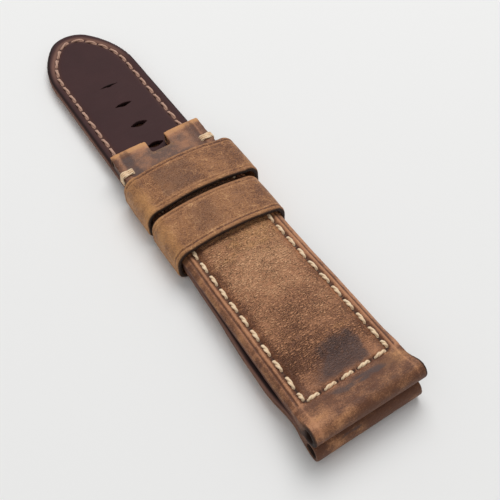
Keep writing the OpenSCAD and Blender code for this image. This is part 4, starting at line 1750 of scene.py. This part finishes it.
    def mark_wear_and_shading(self, mesh: bpy.types.Mesh, spots: Array, along: Array, paint: Array,
                  slit: Array) -> None:
        """Marks the painted edges, the worn sides, the darker middle, and painted highlights on the ridges
        beside the pressed lines.

        Args:
            mesh: The loop's mesh.
            spots: Its points in millimetres.
            along: How far along the width each point is.
            paint: How much of each is painted edge.
            slit: How much of each is the join under the strap.
        """
        x = spots[:, 0]
        chance = Unevenness(self.seed + 1)
        blotch = chance.layered(spots, 4.5, 3.0, 4.5)
        fine = chance.layered(spots + 3, 0.9, 2.2, 0.9)
        from_edge = np.minimum(along, self.width - along)
        gold = 0.8 * (1 - ease(x, -12.0, -8.0)) + 0.5 * ease(x, 10.6, 12.6)
        gold = np.maximum(gold, 0.35 * (1 - ease(from_edge, 0.6, 2.4)))
        gold *= 1 + 0.5 * blotch
        veil = ease(x, -8.6, self.veil_full) * (1 - ease(x + blotch, -1.0, 4.5))
        wax = self.veil * veil * (1 + 0.25 * blotch) + 0.3 * bell(x - 8.2, 2.4)
        wax *= ease(from_edge, 0.9, 2.6)
        line = np.where(along < self.width / 2, *self.lines)
        line *= bell(from_edge - self.line_inset, self.line_half)
        tone = 0.12 * fine - 1.1 * line + 0.12 * blotch - 0.02
        # Painted highlights on the ridges beside each pressed line
        tone += 0.5 * bell(from_edge - 1.5, 0.2) + 0.35 * bell(from_edge - 0.6, 0.3)
        tone -= 0.18 * ease(x, 4.0, 10.0)
        set_marks(mesh, gold=gold, wax=wax, tone=tone, paint=np.maximum(paint, slit),
                  grain=np.full(len(x), 0.42))


@dataclass
class BarTack:
    """Strands of thread side by side that bind the buckle end's edge."""

    name: str
    node: str
    side: int
    piece: ShortPiece
    strands: int = 3
    spacing: float = 0.56
    ply: float = 0.195
    reach: float = 2.75
    twist: float = 1.5
    sides: int = 8

    def path(self) -> tuple[Array, Array]:
        """The line that a strand follows, from the upper face round the edge and under.

        Returns:
            How far along the line each point lies, and the points, across and up, in millimetres.
        """
        at = self.piece.tack_at
        edge = float(self.piece.half(np.array(at))) + 0.2
        top = float(self.piece.level(np.array(at))) + 0.16
        line = [(edge - self.reach - 0.25, top - 0.5), (edge - self.reach + 0.1, top + 0.02)]
        line += [(x, top + 0.06) for x in np.linspace(edge - self.reach + 0.6, edge - 0.5, 9)]
        line += [(edge - 0.15, top - 0.08), (edge + 0.02, top - 0.4)]
        line += [(edge + 0.02, z) for z in np.linspace(top - 0.7, 0.7, 6)]
        line += [(edge - 0.05, 0.4), (edge - 0.35, 0.2), (edge - 0.9, 0.18), (edge - self.reach, 0.2)]
        even, path = evened(np.array(line), 64, to_end=True)
        for _ in range(3):
            path[1:-1] = path[1:-1] * 0.5 + (path[2:] + path[:-2]) * 0.25
        return even, path

    def strand(self) -> bpy.types.Object:
        """One two-ply strand round the edge, centred along the strap.

        Returns:
            The strand as a mesh.
        """
        even, path = self.path()
        ahead = np.gradient(path, axis=0)
        ahead /= np.linalg.norm(ahead, axis=1)[:, None]
        outward = np.stack([-ahead[:, 1], ahead[:, 0]], 1)
        ring, girth, core = self.sides, self.ply * 1.05, self.ply * 0.6
        points, faces = [], []
        for start in (0.0, math.pi):
            base = len(points)
            angle = start + even * self.twist
            middle_y = self.piece.tack_at + core * np.cos(angle)
            lift = core * np.sin(angle)
            for i in range(len(path)):
                for k in range(ring):
                    a = 2 * math.pi * k / ring
                    x, z = path[i] + outward[i] * (lift[i] + girth * math.sin(a))
                    points.append((self.side * x, middle_y[i] + girth * math.cos(a), z))
            for i in range(len(path) - 1):
                for k in range(ring):
                    a, b = base + i * ring + k, base + i * ring + (k + 1) % ring
                    faces.append((a, b, b + ring, a + ring))
            last = base + (len(path) - 1) * ring
            faces.append(tuple(range(base, base + ring)))
            faces.append(tuple(range(last, last + ring))[::-1])
        return from_points(self.name, SHORT_LAY.to_frame(np.array(points)), faces)

    def tree(self) -> bpy.types.NodeTree:
        """The node group that sets copies of a strand side by side.

        Returns:
            The node group.
        """
        tree = bpy.data.node_groups.new("strands", "GeometryNodeTree")
        for name, kind in (("Strand", "Geometry"), ("Count", "Int"), ("Spacing", "Float"),
                           ("Thread", "Material")):
            tree.interface.new_socket(name=name, in_out="INPUT", socket_type="NodeSocket" + kind)
        tree.interface.new_socket(name="Tack", in_out="OUTPUT", socket_type="NodeSocketGeometry")
        bench = Bench(tree)
        given = bench.add("NodeGroupInput")
        step = bench.add("ShaderNodeCombineXYZ", {}, {1: given["Spacing"]})[0]
        back = bench.add("ShaderNodeCombineXYZ", {}, {1: given["Spacing"] * -1.0})[0]
        line = bench.add("GeometryNodeMeshLine", {},
                         {"Count": given["Count"], "Start Location": back, "Offset": step})
        copies = bench.add("GeometryNodeInstanceOnPoints", {},
                           {"Points": line[0], "Instance": given["Strand"]})
        real = bench.add("GeometryNodeRealizeInstances", {}, {0: copies[0]})
        done = bench.add("GeometryNodeSetMaterial", {},
                         {"Geometry": real[0], "Material": given["Thread"]})
        bench.add("NodeGroupOutput", {}, {0: done[0]})
        return tree

    def build(self) -> None:
        """Lays the strands and ties them to the short piece."""
        tree = bpy.data.node_groups.get("strands") or self.tree()
        wanted = {"Count": self.strands, "Spacing": self.spacing * MM, "Thread": CREAM_THREAD.make()}
        piece = grown(self.strand(), tree, wanted)
        face_outwards(piece.data)
        finish_piece(piece, self.piece.body, self.node)


@dataclass
class Studio:
    """The ground, the soft lights and the camera."""

    camera_at: tuple[float, float, float] = (-47.55, -108.03, 127.50)
    aimed_at: tuple[float, float, float] = (1.048, -22.883, 4.0)
    roll: float = -2.809
    focal: float = 55.83
    ground_half: float = 3.0
    room_light: float = 0.40

    def lamp(self, name: str, at: tuple[float, float, float], size: float, power: float) -> None:
        """Sets up a square soft light that faces the strap.

        Args:
            name: The lamp's name.
            at: Its place in metres.
            size: Its side in metres.
            power: Its power in watts.
        """
        light = bpy.data.lights.new(name, "AREA")
        light.shape = "SQUARE"
        light.size = size
        light.energy = power
        lamp = bpy.data.objects.new(name, light)
        lamp.location = at
        lamp.rotation_euler = (-Vector(at)).to_track_quat("-Z", "Y").to_euler()
        bpy.context.scene.collection.objects.link(lamp)

    def build(self) -> None:
        """Lays the ground, lights it and sets the camera."""
        side = self.ground_half
        corners = np.array([(-side, -side, 0), (side, -side, 0), (side, side, 0), (-side, side, 0)])
        ground = from_points("ground", corners, [(0, 1, 2, 3)])
        GROUND.dress(ground)
        self.lamp("high_light", at=(0.42, 0.50, 1.05), size=0.85, power=10.5)
        self.lamp("near_light", at=(-0.35, -0.45, 0.55), size=0.7, power=0.5)
        world = bpy.data.worlds.new("room")
        world.use_nodes = True
        background = world.node_tree.nodes["Background"]
        background.inputs["Color"].default_value = (1.0, 1.0, 1.0, 1.0)
        background.inputs["Strength"].default_value = self.room_light
        scene = bpy.context.scene
        scene.world = world
        scene.view_settings.view_transform = "Standard"
        view = bpy.data.cameras.new("photo_view")
        view.sensor_width = 36.0
        view.lens = self.focal
        view.clip_start = 0.005
        camera = bpy.data.objects.new("photo_view", view)
        look = Vector(self.aimed_at) - Vector(self.camera_at)
        roll = Matrix.Rotation(math.radians(self.roll), 3, "Z")
        turn = look.to_track_quat("-Z", "Y").to_matrix() @ roll
        camera.matrix_world = Matrix.Translation(Vector(self.camera_at) * MM) @ turn.to_4x4()
        scene.collection.objects.link(camera)
        scene.camera = camera


def main() -> None:
    """Builds the strap's pieces in order, then the studio."""
    logging.basicConfig(level=logging.INFO, format="%(message)s")
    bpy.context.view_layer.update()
    short = ShortPiece()
    short.build()
    LongPiece().build()
    Keeper("free_loop", "free_keeper", "free_keeper", seed=22, veil=0.44, veil_full=-4.9,
           lines=(1.0, 0.15)).build()
    Keeper("fixed_loop", "fixed_keeper", "short_strap", seed=31, veil=0.56, veil_full=-7.4,
           lines=(0.2, 0.5)).build()
    BarTack("left_tack", "left_bar_tack", -1, short).build()
    BarTack("right_tack", "right_bar_tack", 1, short).build()
    Studio().build()


if __name__ == "__main__":
    main()
